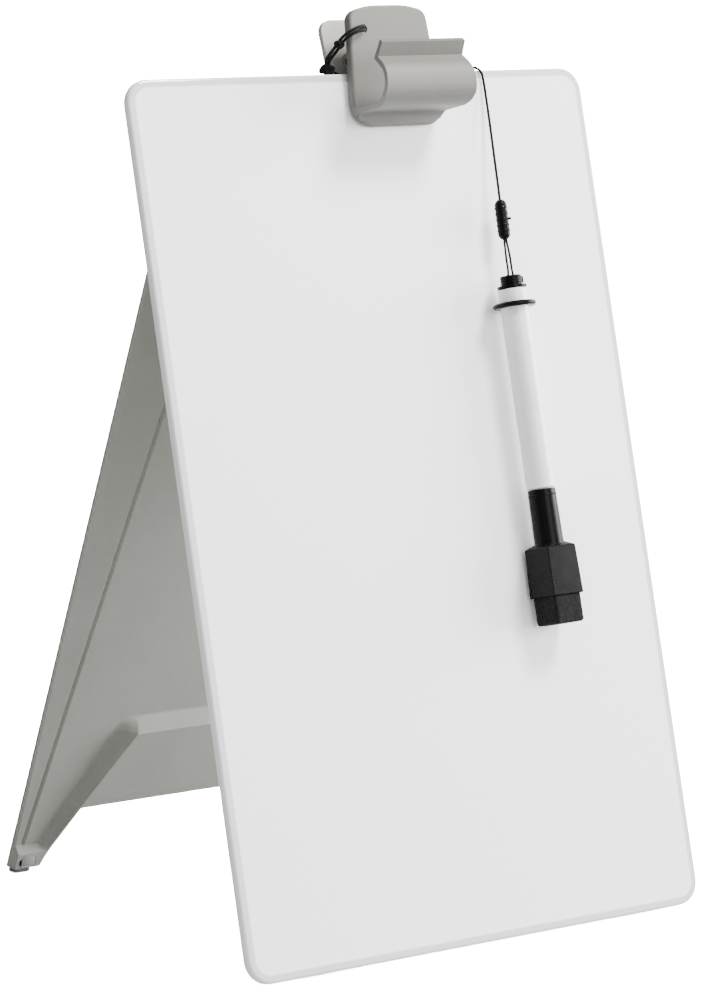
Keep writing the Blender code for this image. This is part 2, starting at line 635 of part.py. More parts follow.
def leg_rows():
    """Rows from the top of the leg to below the floor, each with its height along the leg."""
    top = LEG_LENGTH - LEG_TOP_BELOW_PIN
    base = leg_outer(top) - BAND_WIDTH_AT_PIN - 2 * STEP_FILLET
    rows = [(top, leg_row(top, inner_column(top, base), base, 0))]
    zone = RIDGE_RISE - RIDGE_RUN
    for share, level in reversed(STEP_PROFILE_SHARES):
        rise = zone + share * (RIDGE_RUN + RIDGE_FILLET)
        base = step_base(rise)
        rows.append((rise, leg_row(rise, inner_column(rise, base), base, level * STEP_AT_RIDGE)))
    tip_low = FOOT_TIP_RISE - FOOT_TIP_RUN
    for rise in (CUTOUT_RISE, FOOT_TIP_RISE, tip_low, -OVERRUN):
        above = max(rise, 0)
        inner = leg_outer(rise) - between(above, FOOT_MARGIN, CUTOUT_MARGIN, 0, CUTOUT_RISE)
        step = between(above, STEP_AT_FLOOR, STEP_AT_CUTOUT, 0, CUTOUT_RISE)
        if rise > tip_low:
            rows.append((rise, leg_row(rise, inner, step_base(rise), step)))
        else:
            rows.append((rise, leg_row(rise, inner, step_base(rise), step, step, 0)))
    return rows


def leg_trapezoid(inset, low, high):
    """Outline across the leg between two heights along it, set in from its outer edges."""
    wide, narrow = leg_outer(low) - inset, leg_outer(high) - inset
    bottom, top = low - LEG_LENGTH, high - LEG_LENGTH
    return [(-wide, bottom), (wide, bottom), (narrow, top), (-narrow, top)]


def leg_mesh(rows, back, open_from=None):
    """Closed solid between a front given by rows and a flat back. Rows past open_from leave the middle out."""
    bm = bmesh.new()
    grid = []
    for rise, half in rows:
        full = [(-a, b) for a, b in reversed(half[1:])] + list(half)
        grid.append([bm.verts.new((a, LEG_SETBACK - b, rise - LEG_LENGTH)) for a, b in full])
    count = len(grid[0])
    middle = count // 2
    for index, (upper, lower) in enumerate(zip(grid, grid[1:])):
        for column in range(count - 1):
            if open_from is not None and index >= open_from and column in (middle - 1, middle):
                continue
            bm.faces.new((upper[column], upper[column + 1], lower[column + 1], lower[column]))
    bmesh.ops.delete(bm, geom=[vert for vert in bm.verts if not vert.link_faces], context="VERTS")
    bmesh.ops.triangulate(bm, faces=bm.faces)
    grown = bmesh.ops.extrude_face_region(bm, geom=bm.faces[:])
    for item in grown["geom"]:
        if isinstance(item, bmesh.types.BMVert):
            item.co.y = LEG_SETBACK + back
    return bm


def build_leg(leg, stand):
    """Moulded leg: creased panel, stepped foot panel, turned-back rim, hinge knuckles and stop tabs."""
    rows = leg_rows()
    cutout_row = [rise for rise, _ in rows].index(CUTOUT_RISE)
    body = piece("support_leg", leg_mesh(rows, LEG_EDGE_DEPTH, open_from=cutout_row), LEG_PLASTIC, leg)
    low, high = CUTOUT_RISE + LEG_RIM_INSET, LEG_LENGTH - LEG_TOP_BELOW_PIN - LEG_RIM_INSET
    rim_start = LEG_SETBACK + LEG_EDGE_DEPTH - BOND_SINK
    rim = leg_trapezoid(LEG_RIM_INSET, low, high)
    combine(body, prism("leg_rim", rim, rim_start, LEG_SETBACK + LEG_RIM_DEPTH, "Y", LEG_PLASTIC, leg), "UNION")
    back = LEG_SETBACK + LEG_RIM_DEPTH + OVERRUN
    hollow = leg_trapezoid(LEG_RIM_INSET + LEG_WALL, low + LEG_WALL, high - LEG_WALL)
    combine(body, prism("leg_hollow", hollow, LEG_SETBACK + LEG_WALL, back, "Y", LEG_PLASTIC, leg), "DIFFERENCE")
    zone = RIDGE_RISE - RIDGE_RUN - LEG_WALL
    low = low + LEG_WALL
    wide, narrow = (step_base(rise) - step_draft(rise) - LEG_WALL for rise in (low, zone))
    bottom, top = low - LEG_LENGTH, zone - LEG_LENGTH
    deeper = [(-wide, bottom), (wide, bottom), (narrow, top), (-narrow, top)]
    start = LEG_SETBACK - STEP_AT_CUTOUT + LEG_WALL
    combine(body, prism("step_hollow", deeper, start, back, "Y", LEG_PLASTIC, leg), "DIFFERENCE")

    web_low = -LEG_TOP_BELOW_PIN - LEG_WALL
    knuckle = arc((0, 0), KNUCKLE_RADIUS, 0, WEB_ANGLE, ROUND_STEPS * 2 // 3)
    knuckle += [(LEG_SETBACK, web_low), (LEG_SETBACK + LEG_WALL, web_low)]
    lean = Matrix.Rotation(-FOLD_ANGLE, 2)
    front = BRACKET_BACK + SEAT_GAP - HINGE_DEPTH
    tab = [(front, 0), (front, STOP_TAB_RISE), (front + STOP_TAB_THICKNESS, STOP_TAB_RISE), (0, KNUCKLE_RADIUS / 2)]
    tab = [tuple(lean @ Vector(point)) for point in tab]
    start = CENTRE_LUG_WIDTH / 2 + SEAT_GAP
    for side in (-1, 1):
        near, far = sorted((side * start, side * (start + KNUCKLE_SPAN)))
        combine(body, prism(f"leg_knuckle_{side}", knuckle, near, far, "X", LEG_PLASTIC, leg), "UNION")
        middle = (near + far) / 2
        ends = (middle - STOP_TAB_WIDTH / 2, middle + STOP_TAB_WIDTH / 2)
        combine(body, prism(f"leg_stop_{side}", tab, *ends, "X", LEG_PLASTIC, leg), "UNION")
    bore_half = END_LUG_START
    bore = rod("leg_bore", PIN_BORE_RADIUS, -bore_half, bore_half, STEEL, leg, along_x(), SMALL_ROUND_STEPS)
    combine(body, bore, "DIFFERENCE")

    reach = LEG_LENGTH
    level = rectangle(-reach, reach, -LEG_LENGTH, SOLE_THICKNESS + SEAT_GAP)
    floor = prism("floor_cut", level, -LEG_HALF_AT_FLOOR * 2, LEG_HALF_AT_FLOOR * 2, "X", LEG_PLASTIC, stand)
    floor.location = (0, HINGE_PLACE.y, 0)
    combine(body, floor, "DIFFERENCE")
    soften(body, LEG_EDGE_ROUND, segments=1, angle=40 * DEGREE)

    for name, side in (("leg_foot_pad_left", -1), ("leg_foot_pad_right", 1)):
        build_leg_pad(name, side, stand)


def build_leg_pad(name, side, stand):
    """Flat rubber sole under the foot, following the foot's section just above the floor."""
    face = HINGE_PLACE.y + (HINGE_PLACE.z - SOLE_THICKNESS) * math.tan(LEG_LEAN) + LEG_SETBACK / math.cos(LEG_LEAN)
    front = face - STEP_AT_FLOOR / math.cos(LEG_LEAN) + SOLE_INSET
    back = face + LEG_EDGE_DEPTH / math.cos(LEG_LEAN) - SOLE_INSET
    inner, outer = LEG_HALF_AT_FLOOR - FOOT_MARGIN + SOLE_INSET, LEG_HALF_AT_FLOOR - SOLE_INSET
    outline = rectangle(*sorted((side * inner, side * outer)), front, back, SOLE_CORNER)
    sole = prism(name, outline, 0, SOLE_THICKNESS, "Z", GREY_RUBBER, stand)
    soften(sole, SOLE_ROUND, segments=1, angle=50 * DEGREE)


def plate_face(rise):
    """Distance from the glass to the plate's front, which is thinner towards its lower edge."""
    return PLATE_FACE - PLATE_TAPER * (PLATE_RISE - rise) / (PLATE_RISE + PLATE_DROP)


def plate_outline(inset=0.0):
    """Clip plate seen from the front: arched top, sides that spread downwards, rounded lower corners."""
    top, low = PLATE_SHOULDER - inset, -PLATE_DROP + inset
    rise = PLATE_RISE - PLATE_SHOULDER
    half_top, half_low = PLATE_HALF_TOP - inset, PLATE_HALF_LOW - inset
    top_corner, low_corner = PLATE_TOP_CORNER, PLATE_LOW_CORNER - inset
    return rounded((
        (half_low, low, low_corner), (half_top, top, top_corner), (half_top / 2, top + rise * 3 / 4, half_top * 2),
        (-half_top / 2, top + rise * 3 / 4, half_top * 2), (-half_top, top, top_corner), (-half_low, low, low_corner),
    ))


def ear_outline(centre, base_depth):
    """Ear round the clip's pivot, joined to a wall at base_depth on its straight side."""
    a, b = centre
    side = 1 if base_depth < a else -1
    start = -side * math.pi / 2
    ring = arc(centre, EAR_RADIUS, start, start + math.pi, ROUND_STEPS // 2)
    return ring + [(base_depth, b + side * EAR_RADIUS), (base_depth, b - side * EAR_RADIUS)]


def holder_wall():
    """Middle line of the pen holder's wall: floor, round belly, neck and flared lip."""
    centre = (-PLATE_FACE - HOLDER_REACH, -HOLDER_FLOOR_DROP + HOLDER_RADIUS)
    belly = arc(centre, HOLDER_RADIUS, -math.pi / 2, -math.pi - HOLDER_BELLY_END, ROUND_STEPS // 2)
    root = (-plate_face(-PLATE_DROP) + 2 * BOND_SINK, -HOLDER_FLOOR_DROP + HOLDER_FLOOR_RISE)
    neck = (-PLATE_FACE - HOLDER_NECK_REACH, -HOLDER_FLOOR_DROP + HOLDER_NECK_RISE)
    lip = (-PLATE_FACE - HOLDER_LIP_REACH, -HOLDER_FLOOR_DROP + HOLDER_LIP_RISE)
    return [root] + belly + [neck, lip]


def holder_web():
    """Outline of the rounded web that carries the holder's floor into the plate from below."""
    under = -HOLDER_FLOOR_DROP - HOLDER_WALL / 2
    joint = under + HOLDER_FLOOR_RISE
    reach = 2 * HOLDER_FILLET
    web = rounded((
        (-plate_face(joint) - reach, joint - HOLDER_FLOOR_RISE * reach / HOLDER_REACH, 0),
        (-plate_face(joint), joint, HOLDER_FILLET),
        (-plate_face(joint - reach), joint - reach, 0),
    ))[1:-1]
    sunk = -plate_face(joint) + BOND_SINK
    return web + [(sunk, web[-1][1]), (sunk, -HOLDER_FLOOR_DROP), (web[0][0], -HOLDER_FLOOR_DROP)]


def build_clip_front(clip):
    slab = prism_mesh(plate_outline(), -PLATE_FACE, -CLIP_GAP, "Y")
    for vert in slab.verts:
        if vert.co.y < -PLATE_FACE / 2:
            vert.co.y = -plate_face(vert.co.z)
    plate = piece("clip_front_grip", slab, GREY_PLASTIC, clip)
    soften(plate, PLATE_ROUND, segments=3)
    half = between(PLATE_WALL, PLATE_HALF_LOW, PLATE_HALF_TOP, -PLATE_DROP, PLATE_SHOULDER) - PLATE_WALL
    hollow = [(a, b) for a, b in plate_outline(PLATE_WALL) if b > PLATE_WALL]
    hollow += [(-half, PLATE_WALL), (half, PLATE_WALL)]
    pocket = prism("plate_pocket", hollow, -PLATE_FACE + PLATE_WALL, OVERRUN, "Y", GREY_PLASTIC, clip)
    combine(plate, pocket, "DIFFERENCE")
    pad_room = rectangle(-JAW_PAD_HALF - SEAT_GAP, JAW_PAD_HALF + SEAT_GAP,
                         -JAW_PAD_LOW_DROP - SEAT_GAP, -JAW_PAD_TOP_DROP + SEAT_GAP)
    room_depth = -SEAT_GAP - JAW_PAD_THICKNESS - SEAT_GAP
    combine(plate, prism("pad_pocket", pad_room, room_depth, OVERRUN, "Y", GREY_PLASTIC, clip), "DIFFERENCE")

    wall = thick_path(holder_wall(), HOLDER_WALL)
    holder = prism("pen_holder", wall, -PLATE_HALF_LOW - OVERRUN, PLATE_HALF_LOW + OVERRUN, "X", GREY_PLASTIC, clip)
    web = holder_web()
    gusset = prism("holder_web", web, -PLATE_HALF_LOW - OVERRUN, PLATE_HALF_LOW + OVERRUN, "X", GREY_PLASTIC, clip)
    combine(holder, gusset, "UNION")
    trim = prism("holder_trim", plate_outline(), -PLATE_FACE - HOLDER_LIP_REACH * 2, OVERRUN, "Y", GREY_PLASTIC, clip)
    combine(holder, trim, "INTERSECT")
    soften(holder, HOLDER_ROUND, segments=1, angle=50 * DEGREE)
    combine(plate, holder, "UNION")

    ear = ear_outline((PIVOT_DEPTH, PIVOT_RISE), -PLATE_FACE + PLATE_WALL - BOND_SINK)
    for index, start in enumerate((-EAR_OUTER_HALF, EAR_OUTER_HALF - EAR_THICKNESS)):
        end = start + EAR_THICKNESS
        combine(plate, prism(f"front_ear_{index}", ear, start, end, "X", GREY_PLASTIC, clip), "UNION")
    bore = rod("front_ear_bore", PIVOT_BORE_RADIUS, -PLATE_HALF_LOW, PLATE_HALF_LOW, STEEL, clip,
               along_x((0, PIVOT_DEPTH, PIVOT_RISE)), SMALL_ROUND_STEPS)
    combine(plate, bore, "DIFFERENCE")
    hole_place = Matrix.Translation((-CORD_HOLE_SIDE, 0, CORD_HOLE_RISE)) @ Matrix.Rotation(math.pi / 2, 4, "X")
    hole = rod("cord_hole", CORD_HOLE_RADIUS, 0, PLATE_FACE + OVERRUN, STEEL, clip, hole_place, SMALL_ROUND_STEPS)
    combine(plate, hole, "DIFFERENCE")

    pad = rectangle(-JAW_PAD_HALF, JAW_PAD_HALF, -JAW_PAD_LOW_DROP, -JAW_PAD_TOP_DROP)
    front_pad = prism("clip_front_pad", pad, -SEAT_GAP - JAW_PAD_THICKNESS, -SEAT_GAP, "Y", GREY_RUBBER, clip)
    soften(front_pad, JAW_PAD_ROUND, segments=1)


def lever_wall():
    """Middle line of the rear lever from its grip end to the tip of its jaw, about the pivot."""
    line = (
        (LEVER_TOP_DEPTH, LEVER_RISE), (LEVER_WAIST_DEPTH, LEVER_WAIST_RISE),
        (LEVER_THROAT_DEPTH, -LEVER_THROAT_DROP), (LEVER_JAW_DEPTH, -LEVER_JAW_DROP),
        (LEVER_JAW_DEPTH, -LEVER_DROP),
    )
    return [(depth - PIVOT_DEPTH, rise - PIVOT_RISE) for depth, rise in line]


def build_clip_lever(lever):
    top, low = LEVER_RISE - PIVOT_RISE, -LEVER_DROP - PIVOT_RISE
    wall = thick_path(lever_wall(), LEVER_WALL)
    body = prism("clip_rear_lever", wall, -LEVER_HALF, LEVER_HALF, "X", GREY_PLASTIC, lever)
    outline = rounded((
        (-LEVER_HALF, low, LEVER_CORNER / 2), (LEVER_HALF, low, LEVER_CORNER / 2),
        (LEVER_HALF, top, LEVER_CORNER), (-LEVER_HALF, top, LEVER_CORNER),
    ))
    trim = prism("lever_trim", outline, -LEVER_TOP_DEPTH, LEVER_TOP_DEPTH * 2, "Y", GREY_PLASTIC, lever)
    combine(body, trim, "INTERSECT")
    soften(body, LEVER_ROUND, segments=2, angle=50 * DEGREE)

    ear = ear_outline((0, 0), LEVER_WAIST_DEPTH - PIVOT_DEPTH)
    outer = EAR_OUTER_HALF - EAR_THICKNESS - SEAT_GAP
    for index, start in enumerate((-outer, outer - EAR_THICKNESS)):
        end = start + EAR_THICKNESS
        combine(body, prism(f"rear_ear_{index}", ear, start, end, "X", GREY_PLASTIC, lever), "UNION")
    bore = rod("rear_ear_bore", PIVOT_BORE_RADIUS, -LEVER_HALF, LEVER_HALF, STEEL, lever, along_x(), SMALL_ROUND_STEPS)
    combine(body, bore, "DIFFERENCE")

    lean = (LEVER_TOP_DEPTH - LEVER_WAIST_DEPTH) / (LEVER_RISE - LEVER_WAIST_RISE)
    for index in range(GRIP_RIB_COUNT):
        rise = LEVER_RISE - LEVER_CORNER - index * GRIP_RIB_PITCH
        depth = LEVER_WAIST_DEPTH + (rise - LEVER_WAIST_RISE) * lean + LEVER_WALL / 2
        place = along_x((0, depth - PIVOT_DEPTH, rise - PIVOT_RISE))
        rib = rod(f"grip_rib_{index}", GRIP_RIB_RADIUS, -GRIP_RIB_HALF, GRIP_RIB_HALF, GREY_PLASTIC, lever, place, 12)
        combine(body, rib, "UNION")

    pad = rectangle(-JAW_PAD_HALF, JAW_PAD_HALF, -JAW_PAD_LOW_DROP - PIVOT_RISE, -LEVER_JAW_DROP - SEAT_GAP - PIVOT_RISE)
    front = TAPE_DEPTH - PIVOT_DEPTH
    back = LEVER_JAW_DEPTH - LEVER_WALL / 2 - SEAT_GAP - PIVOT_DEPTH
    rear_pad = prism("clip_rear_pad", pad, front, back, "Y", GREY_RUBBER, lever)
    soften(rear_pad, JAW_PAD_ROUND, segments=1)


def build_pivot(clip):
    """Pivot pin, sunk in the front ears, and the torsion spring wound round it."""
    half = EAR_OUTER_HALF - PIVOT_PIN_SINK
    rod("clip_pivot_pin", PIVOT_PIN_RADIUS, -half, half, STEEL, clip,
        along_x((0, PIVOT_DEPTH, PIVOT_RISE)), SMALL_ROUND_STEPS)

    start, end = SPRING_FRONT_LEAN, 2 * math.pi * SPRING_TURNS + math.pi - SPRING_BACK_LEAN
    count = round((end - start) / (2 * math.pi) * SPRING_STEPS)
    length = SPRING_PITCH * (end - start) / (2 * math.pi)
    coil = []
    for index in range(count + 1):
        angle = start + (end - start) * index / count
        coil.append(Vector((
            length * (index / count - 1 / 2),
            PIVOT_DEPTH - SPRING_COIL_RADIUS * math.cos(angle), PIVOT_RISE - SPRING_COIL_RADIUS * math.sin(angle),
        )))
    gap = min(
        (a - b).length for index, a in enumerate(coil) for b in coil[index + SPRING_STEPS // 2:]
    ) - SPRING_WIRE
    print("clip_spring least gap between turns", round(gap / MM, 2), "mm")
    rest = SEAT_GAP + SPRING_WIRE / 2
    plate_tip = -PLATE_FACE + PLATE_WALL + rest
    lever_tip = (LEVER_WAIST_DEPTH + LEVER_TOP_DEPTH) / 2 - LEVER_WALL / 2 - rest
    front_way = Vector((0, -math.tan(SPRING_FRONT_LEAN), 1)) * (coil[0].y - plate_tip) / math.tan(SPRING_FRONT_LEAN)
    back_way = Vector((0, math.tan(SPRING_BACK_LEAN), 1)) * (lever_tip - coil[-1].y) / math.tan(SPRING_BACK_LEAN)
    steps = range(1, SPRING_ARM_STEPS + 1)
    front_arm = [coil[0] + front_way * step / SPRING_ARM_STEPS for step in steps]
    back_arm = [coil[-1] + back_way * step / SPRING_ARM_STEPS for step in steps]
    tube("clip_spring", front_arm[::-1] + coil + back_arm, SPRING_WIRE, STEEL, clip, resolution=1)


def knot(name, radius, place, look, parent):
    """Plain solid of a pulled-tight knot."""
    bm = bmesh.new()
    bmesh.ops.create_icosphere(bm, subdivisions=3, radius=radius)
    bmesh.ops.scale(bm, verts=bm.verts, vec=(1, KNOT_SQUASH_SHARE, KNOT_SQUASH_SHARE))
    return piece(name, bm, look, parent, Matrix.Translation(place))


def build_lanyard(clip):
    """Doubled cord from the stop knot through the plate to the big knot, then one cord over the glass edge."""
    cord("lanyard_upper_strand", UPPER_STRAND_ROUTE, CORD_DIAMETER, BLACK_CORD, clip)
    cord("lanyard_lower_strand", LOWER_STRAND_ROUTE, CORD_DIAMETER, BLACK_CORD, clip)
    cord("lanyard_cord", MAIN_CORD_ROUTE, CORD_DIAMETER, BLACK_CORD, clip)
    stop_depth = -PLATE_FACE + PLATE_WALL + SEAT_GAP + STOP_KNOT_RADIUS * KNOT_SQUASH_SHARE
    knot("lanyard_stop_knot", STOP_KNOT_RADIUS, (-CORD_HOLE_SIDE, stop_depth, CORD_HOLE_RISE), BLACK_CORD, clip)
    knot("lanyard_big_knot", BIG_KNOT_RADIUS, BIG_KNOT_PLACE, BLACK_CORD, clip)
    half = SMALL_KNOT_LENGTH / 2
    swell = (SMALL_KNOT_RADIUS - SMALL_KNOT_BORE) / 2
    ring = [(SMALL_KNOT_BORE, -half), (SMALL_KNOT_RADIUS - swell, -half), (SMALL_KNOT_RADIUS, -half + swell),
            (SMALL_KNOT_RADIUS, half - swell), (SMALL_KNOT_RADIUS - swell, half), (SMALL_KNOT_BORE, half)]
    turn = Vector(SMALL_KNOT_AXIS).to_track_quat("Z", "Y").to_matrix().to_4x4()
    place = Matrix.Translation(SMALL_KNOT_PLACE) @ turn
    turned("lanyard_small_knot", ring, BLACK_CORD, clip, place, SMALL_ROUND_STEPS)


def build_cord_lock(lock, lock_axes):
    """Ribbed bead that joins the cord to the pen loop: rounded ends, ribs on one side and a moulding nub."""
    straight = LOCK_LENGTH - 2 * LOCK_RADIUS
    quarter = CORNER_STEPS
    profile = [(0, LOCK_RADIUS)] + [
        (LOCK_RADIUS * math.sin(math.pi / 2 * step / quarter), LOCK_RADIUS * math.cos(math.pi / 2 * step / quarter))
        for step in range(1, quarter + 1)
    ]
    profile += [(radius, -straight - height) for radius, height in reversed(profile)]
    bead = turned("cord_lock", profile, BLACK_PLASTIC, lock, lock_axes, SMALL_ROUND_STEPS)
    pitch = straight / LOCK_RIB_COUNT
    for index in range(LOCK_RIB_COUNT):
        height = -pitch * (index + 1 / 2)
        rib_half = pitch / 4
        rim = LOCK_RADIUS + LOCK_RIB_SWELL
        ring = [(0, height - rib_half), (LOCK_RADIUS, height - rib_half), (rim, height), (LOCK_RADIUS, height + rib_half),
                (0, height + rib_half)]
        rib = turned(f"lock_rib_{index}", ring, BLACK_PLASTIC, lock, lock_axes @ Matrix.Translation((0, 0, 0)),
                     SMALL_ROUND_STEPS)
        combine(bead, rib, "UNION")
    nub_place = lock_axes @ Matrix.Translation((LOCK_NUB_LENGTH / 2 - LOCK_RADIUS, 0, -straight / 2))
    nub_place = nub_place @ Matrix.Rotation(-math.pi / 2, 4, "Y")
    nub = rod("lock_nub", LOCK_NUB_RADIUS, 0, LOCK_NUB_LENGTH * 3 / 2, BLACK_PLASTIC, lock, nub_place, 12)
    combine(bead, nub, "UNION")


def build_marker(marker):
    """Barrel with its neck, end plug with the eye for the loop, ring, ink reservoir, tip and nib."""
    ring_bore = BARREL_RADIUS + SEAT_GAP
    bevel = RING_THICKNESS / 3
    ring = [(ring_bore, RING_TOP), (RING_RADIUS - bevel, RING_TOP), (RING_RADIUS, RING_TOP - bevel),
            (RING_RADIUS, RING_TOP - RING_THICKNESS + bevel), (RING_RADIUS - bevel, RING_TOP - RING_THICKNESS),
            (ring_bore, RING_TOP - RING_THICKNESS)]
    turned("marker_ring", ring, BLACK_PLASTIC, marker)

    barrel = [
        (BARREL_BORE_RADIUS, BARREL_TOP), (BARREL_RADIUS - BARREL_ROUND, BARREL_TOP),
        (BARREL_RADIUS, BARREL_TOP - BARREL_ROUND), (BARREL_RADIUS, BARREL_LOW + BARREL_ROUND),
        (BARREL_RADIUS - BARREL_ROUND, BARREL_LOW), (NECK_RADIUS, BARREL_LOW), (NECK_RADIUS, NECK_LOW),
        (NECK_BORE_RADIUS, NECK_LOW), (NECK_BORE_RADIUS, BARREL_LOW - SEAT_GAP), (BARREL_BORE_RADIUS, BARREL_LOW + BARREL_WALL),
    ]
    turned("marker_barrel", barrel, WHITE_PLASTIC, marker)

    stem = BARREL_BORE_RADIUS - SEAT_GAP
    flange_low = -KNOB_HEIGHT - FLANGE_THICKNESS
    plug = [
        (0, -KNOB_BORE_DEPTH), (KNOB_BORE_RADIUS, -KNOB_BORE_DEPTH), (KNOB_BORE_RADIUS, 0), (KNOB_RADIUS, 0),
        (KNOB_RADIUS, -KNOB_HEIGHT), (BARREL_RADIUS, -KNOB_HEIGHT), (BARREL_RADIUS, flange_low), (stem, flange_low),
        (stem, flange_low - PLUG_STEM_LENGTH), (0, flange_low - PLUG_STEM_LENGTH),
    ]
    end_plug = turned("marker_end_plug", plug, BLACK_PLASTIC, marker)
    bar_half = KNOB_BORE_RADIUS + (KNOB_RADIUS - KNOB_BORE_RADIUS) / 2
    bar_place = Matrix.Translation((0, 0, -KNOB_BAR_DROP)) @ Matrix.Rotation(math.pi / 2, 4, "X")
    bar = rod("plug_bar", KNOB_BAR_RADIUS, -bar_half, bar_half, BLACK_PLASTIC, marker, bar_place, 12)
    combine(end_plug, bar, "UNION")
    tab = rectangle(KNOB_RADIUS - BOND_SINK, KNOB_RADIUS + KNOB_TAB_REACH, -KNOB_HEIGHT * 3 / 4, -KNOB_HEIGHT / 8)
    combine(end_plug, prism("plug_tab", tab, -KNOB_TAB_HALF, KNOB_TAB_HALF, "Y", BLACK_PLASTIC, marker), "UNION")

    reservoir_top = flange_low - PLUG_STEM_LENGTH - SEAT_GAP
    reservoir_low = BARREL_LOW + BARREL_WALL + SEAT_GAP
    rod("ink_reservoir", stem, reservoir_low, reservoir_top, FIBRE, marker, steps=SMALL_ROUND_STEPS)

    nib_bore = NIB_RADIUS + SEAT_GAP
    cone_top = NECK_LOW - SEAT_GAP
    stem_radius = NECK_BORE_RADIUS - SEAT_GAP
    tip = [
        (nib_bore, cone_top + TIP_STEM_LENGTH), (stem_radius, cone_top + TIP_STEM_LENGTH), (stem_radius, cone_top),
        (NECK_RADIUS - BARREL_ROUND, cone_top), (TIP_CONE_RADIUS, CONE_LOW), (nib_bore, CONE_LOW),
    ]
    turned("marker_tip", tip, BLACK_PLASTIC, marker, steps=SMALL_ROUND_STEPS)
    nib = [(0, NIB_LOW + NIB_LENGTH), (NIB_RADIUS, NIB_LOW + NIB_LENGTH)]
    nib += [
        (NIB_RADIUS * math.cos(math.pi / 2 * step / 4), NIB_LOW + NIB_RADIUS * (1 - math.sin(math.pi / 2 * step / 4)))
        for step in range(4)
    ]
    nib += [(0, NIB_LOW)]
    turned("marker_nib", nib, FIBRE, marker, steps=SMALL_ROUND_STEPS)


def build_cap(cap):
    """Cap sleeve that grows into the square eraser holder, and the felt eraser in its end."""
    bore = NECK_RADIUS + SEAT_GAP
    sleeve = [
        (bore, CAP_TOP), (CAP_TOP_RADIUS, CAP_TOP), (BARREL_RADIUS, SHOULDER_TOP - ERASER_HOLDER_SHOULDER * 2),
        (0, SHOULDER_TOP - ERASER_HOLDER_SHOULDER * 2), (0, CAP_TOP - CAP_NIB_ROOM), (bore, CAP_TOP - CAP_NIB_ROOM),
    ]
    body = turned("marker_cap", sleeve, BLACK_PLASTIC, cap)
    half = ERASER_HOLDER_WIDTH / 2
    turn = Matrix.Rotation(ERASER_HOLDER_TURN, 4, "Z")
    block = bmesh.new()
    levels = (
        (SHOULDER_TOP, BARREL_RADIUS * math.sqrt(1 / 2)), (SHOULDER_TOP - ERASER_HOLDER_SHOULDER, ERASER_HOLDER_TOP_WIDTH / 2),
        (HOLDER_LOW, half),
    )
    rings = []
    for height, reach in levels:
        rings.append([block.verts.new((a * reach, b * reach, height)) for a, b in ((-1, -1), (1, -1), (1, 1), (-1, 1))])
    for upper, lower in zip(rings, rings[1:]):
        for index in range(4):
            block.faces.new((upper[index - 1], upper[index], lower[index], lower[index - 1]))
    block.faces.new(rings[0])
    block.faces.new(rings[-1])
    holder = soften(piece("eraser_holder", block, BLACK_PLASTIC, cap, turn), ERASER_HOLDER_ROUND, angle=20 * DEGREE)
    combine(body, holder, "UNION")
    nib_room = rod("nib_room", bore, CAP_TOP - CAP_NIB_ROOM, CAP_TOP + OVERRUN, STEEL, cap)
    combine(body, nib_room, "DIFFERENCE")
    room_half = ERASER_STUB_WIDTH / 2 + SEAT_GAP
    room = prism("eraser_room", rectangle(-room_half, room_half, -room_half, room_half), HOLDER_LOW - OVERRUN,
                 HOLDER_LOW + ERASER_STUB_LENGTH + SEAT_GAP, "Z", STEEL, cap, turn)
    combine(body, room, "DIFFERENCE")

    half = ERASER_WIDTH / 2
    pad_top = HOLDER_LOW - SEAT_GAP
    outline = rectangle(-half, half, -half, half, ERASER_CORNER)
    eraser = prism("marker_eraser", outline, pad_top - ERASER_LENGTH, pad_top, "Z", FELT, cap, turn)
    soften(eraser, ERASER_CORNER / 2, segments=2, angle=50 * DEGREE)
    stub_half = ERASER_STUB_WIDTH / 2
    stub = prism("eraser_stub", rectangle(-stub_half, stub_half, -stub_half, stub_half), pad_top - BOND_SINK,
                 HOLDER_LOW + ERASER_STUB_LENGTH, "Z", FELT, cap, turn)
    combine(eraser, stub, "UNION")


def centre_on_origin(stand, on_cord):
    """Moves the whole stand so that the middle of the object's box, without its cords, is over the origin."""
    bpy.context.view_layer.update()
    view = bpy.context.evaluated_depsgraph_get()
    low, high = Vector((math.inf,) * 3), Vector((-math.inf,) * 3)
    for item in bpy.context.scene.objects:
        if item.type != "MESH" or item.hide_render or item.name in on_cord:
            continue
        shape = item.evaluated_get(view)
        for vert in shape.data.vertices:
            place = shape.matrix_world @ vert.co
            low = Vector(map(min, low, place))
            high = Vector(map(max, high, place))
    stand.location -= Vector(((low.x + high.x) / 2, (low.y + high.y) / 2, low.z))
    bpy.context.view_layer.update()
    print("box before centring", [round(value / MM, 2) for value in (*low, *high)])


def tell(name, item, axis=(1, 0, 0)):
    place = item.matrix_world.translation
    turned_axis = item.matrix_world.to_3x3() @ Vector(axis)
    print(name, [round(value, 6) for value in place], [round(value, 6) for value in turned_axis])


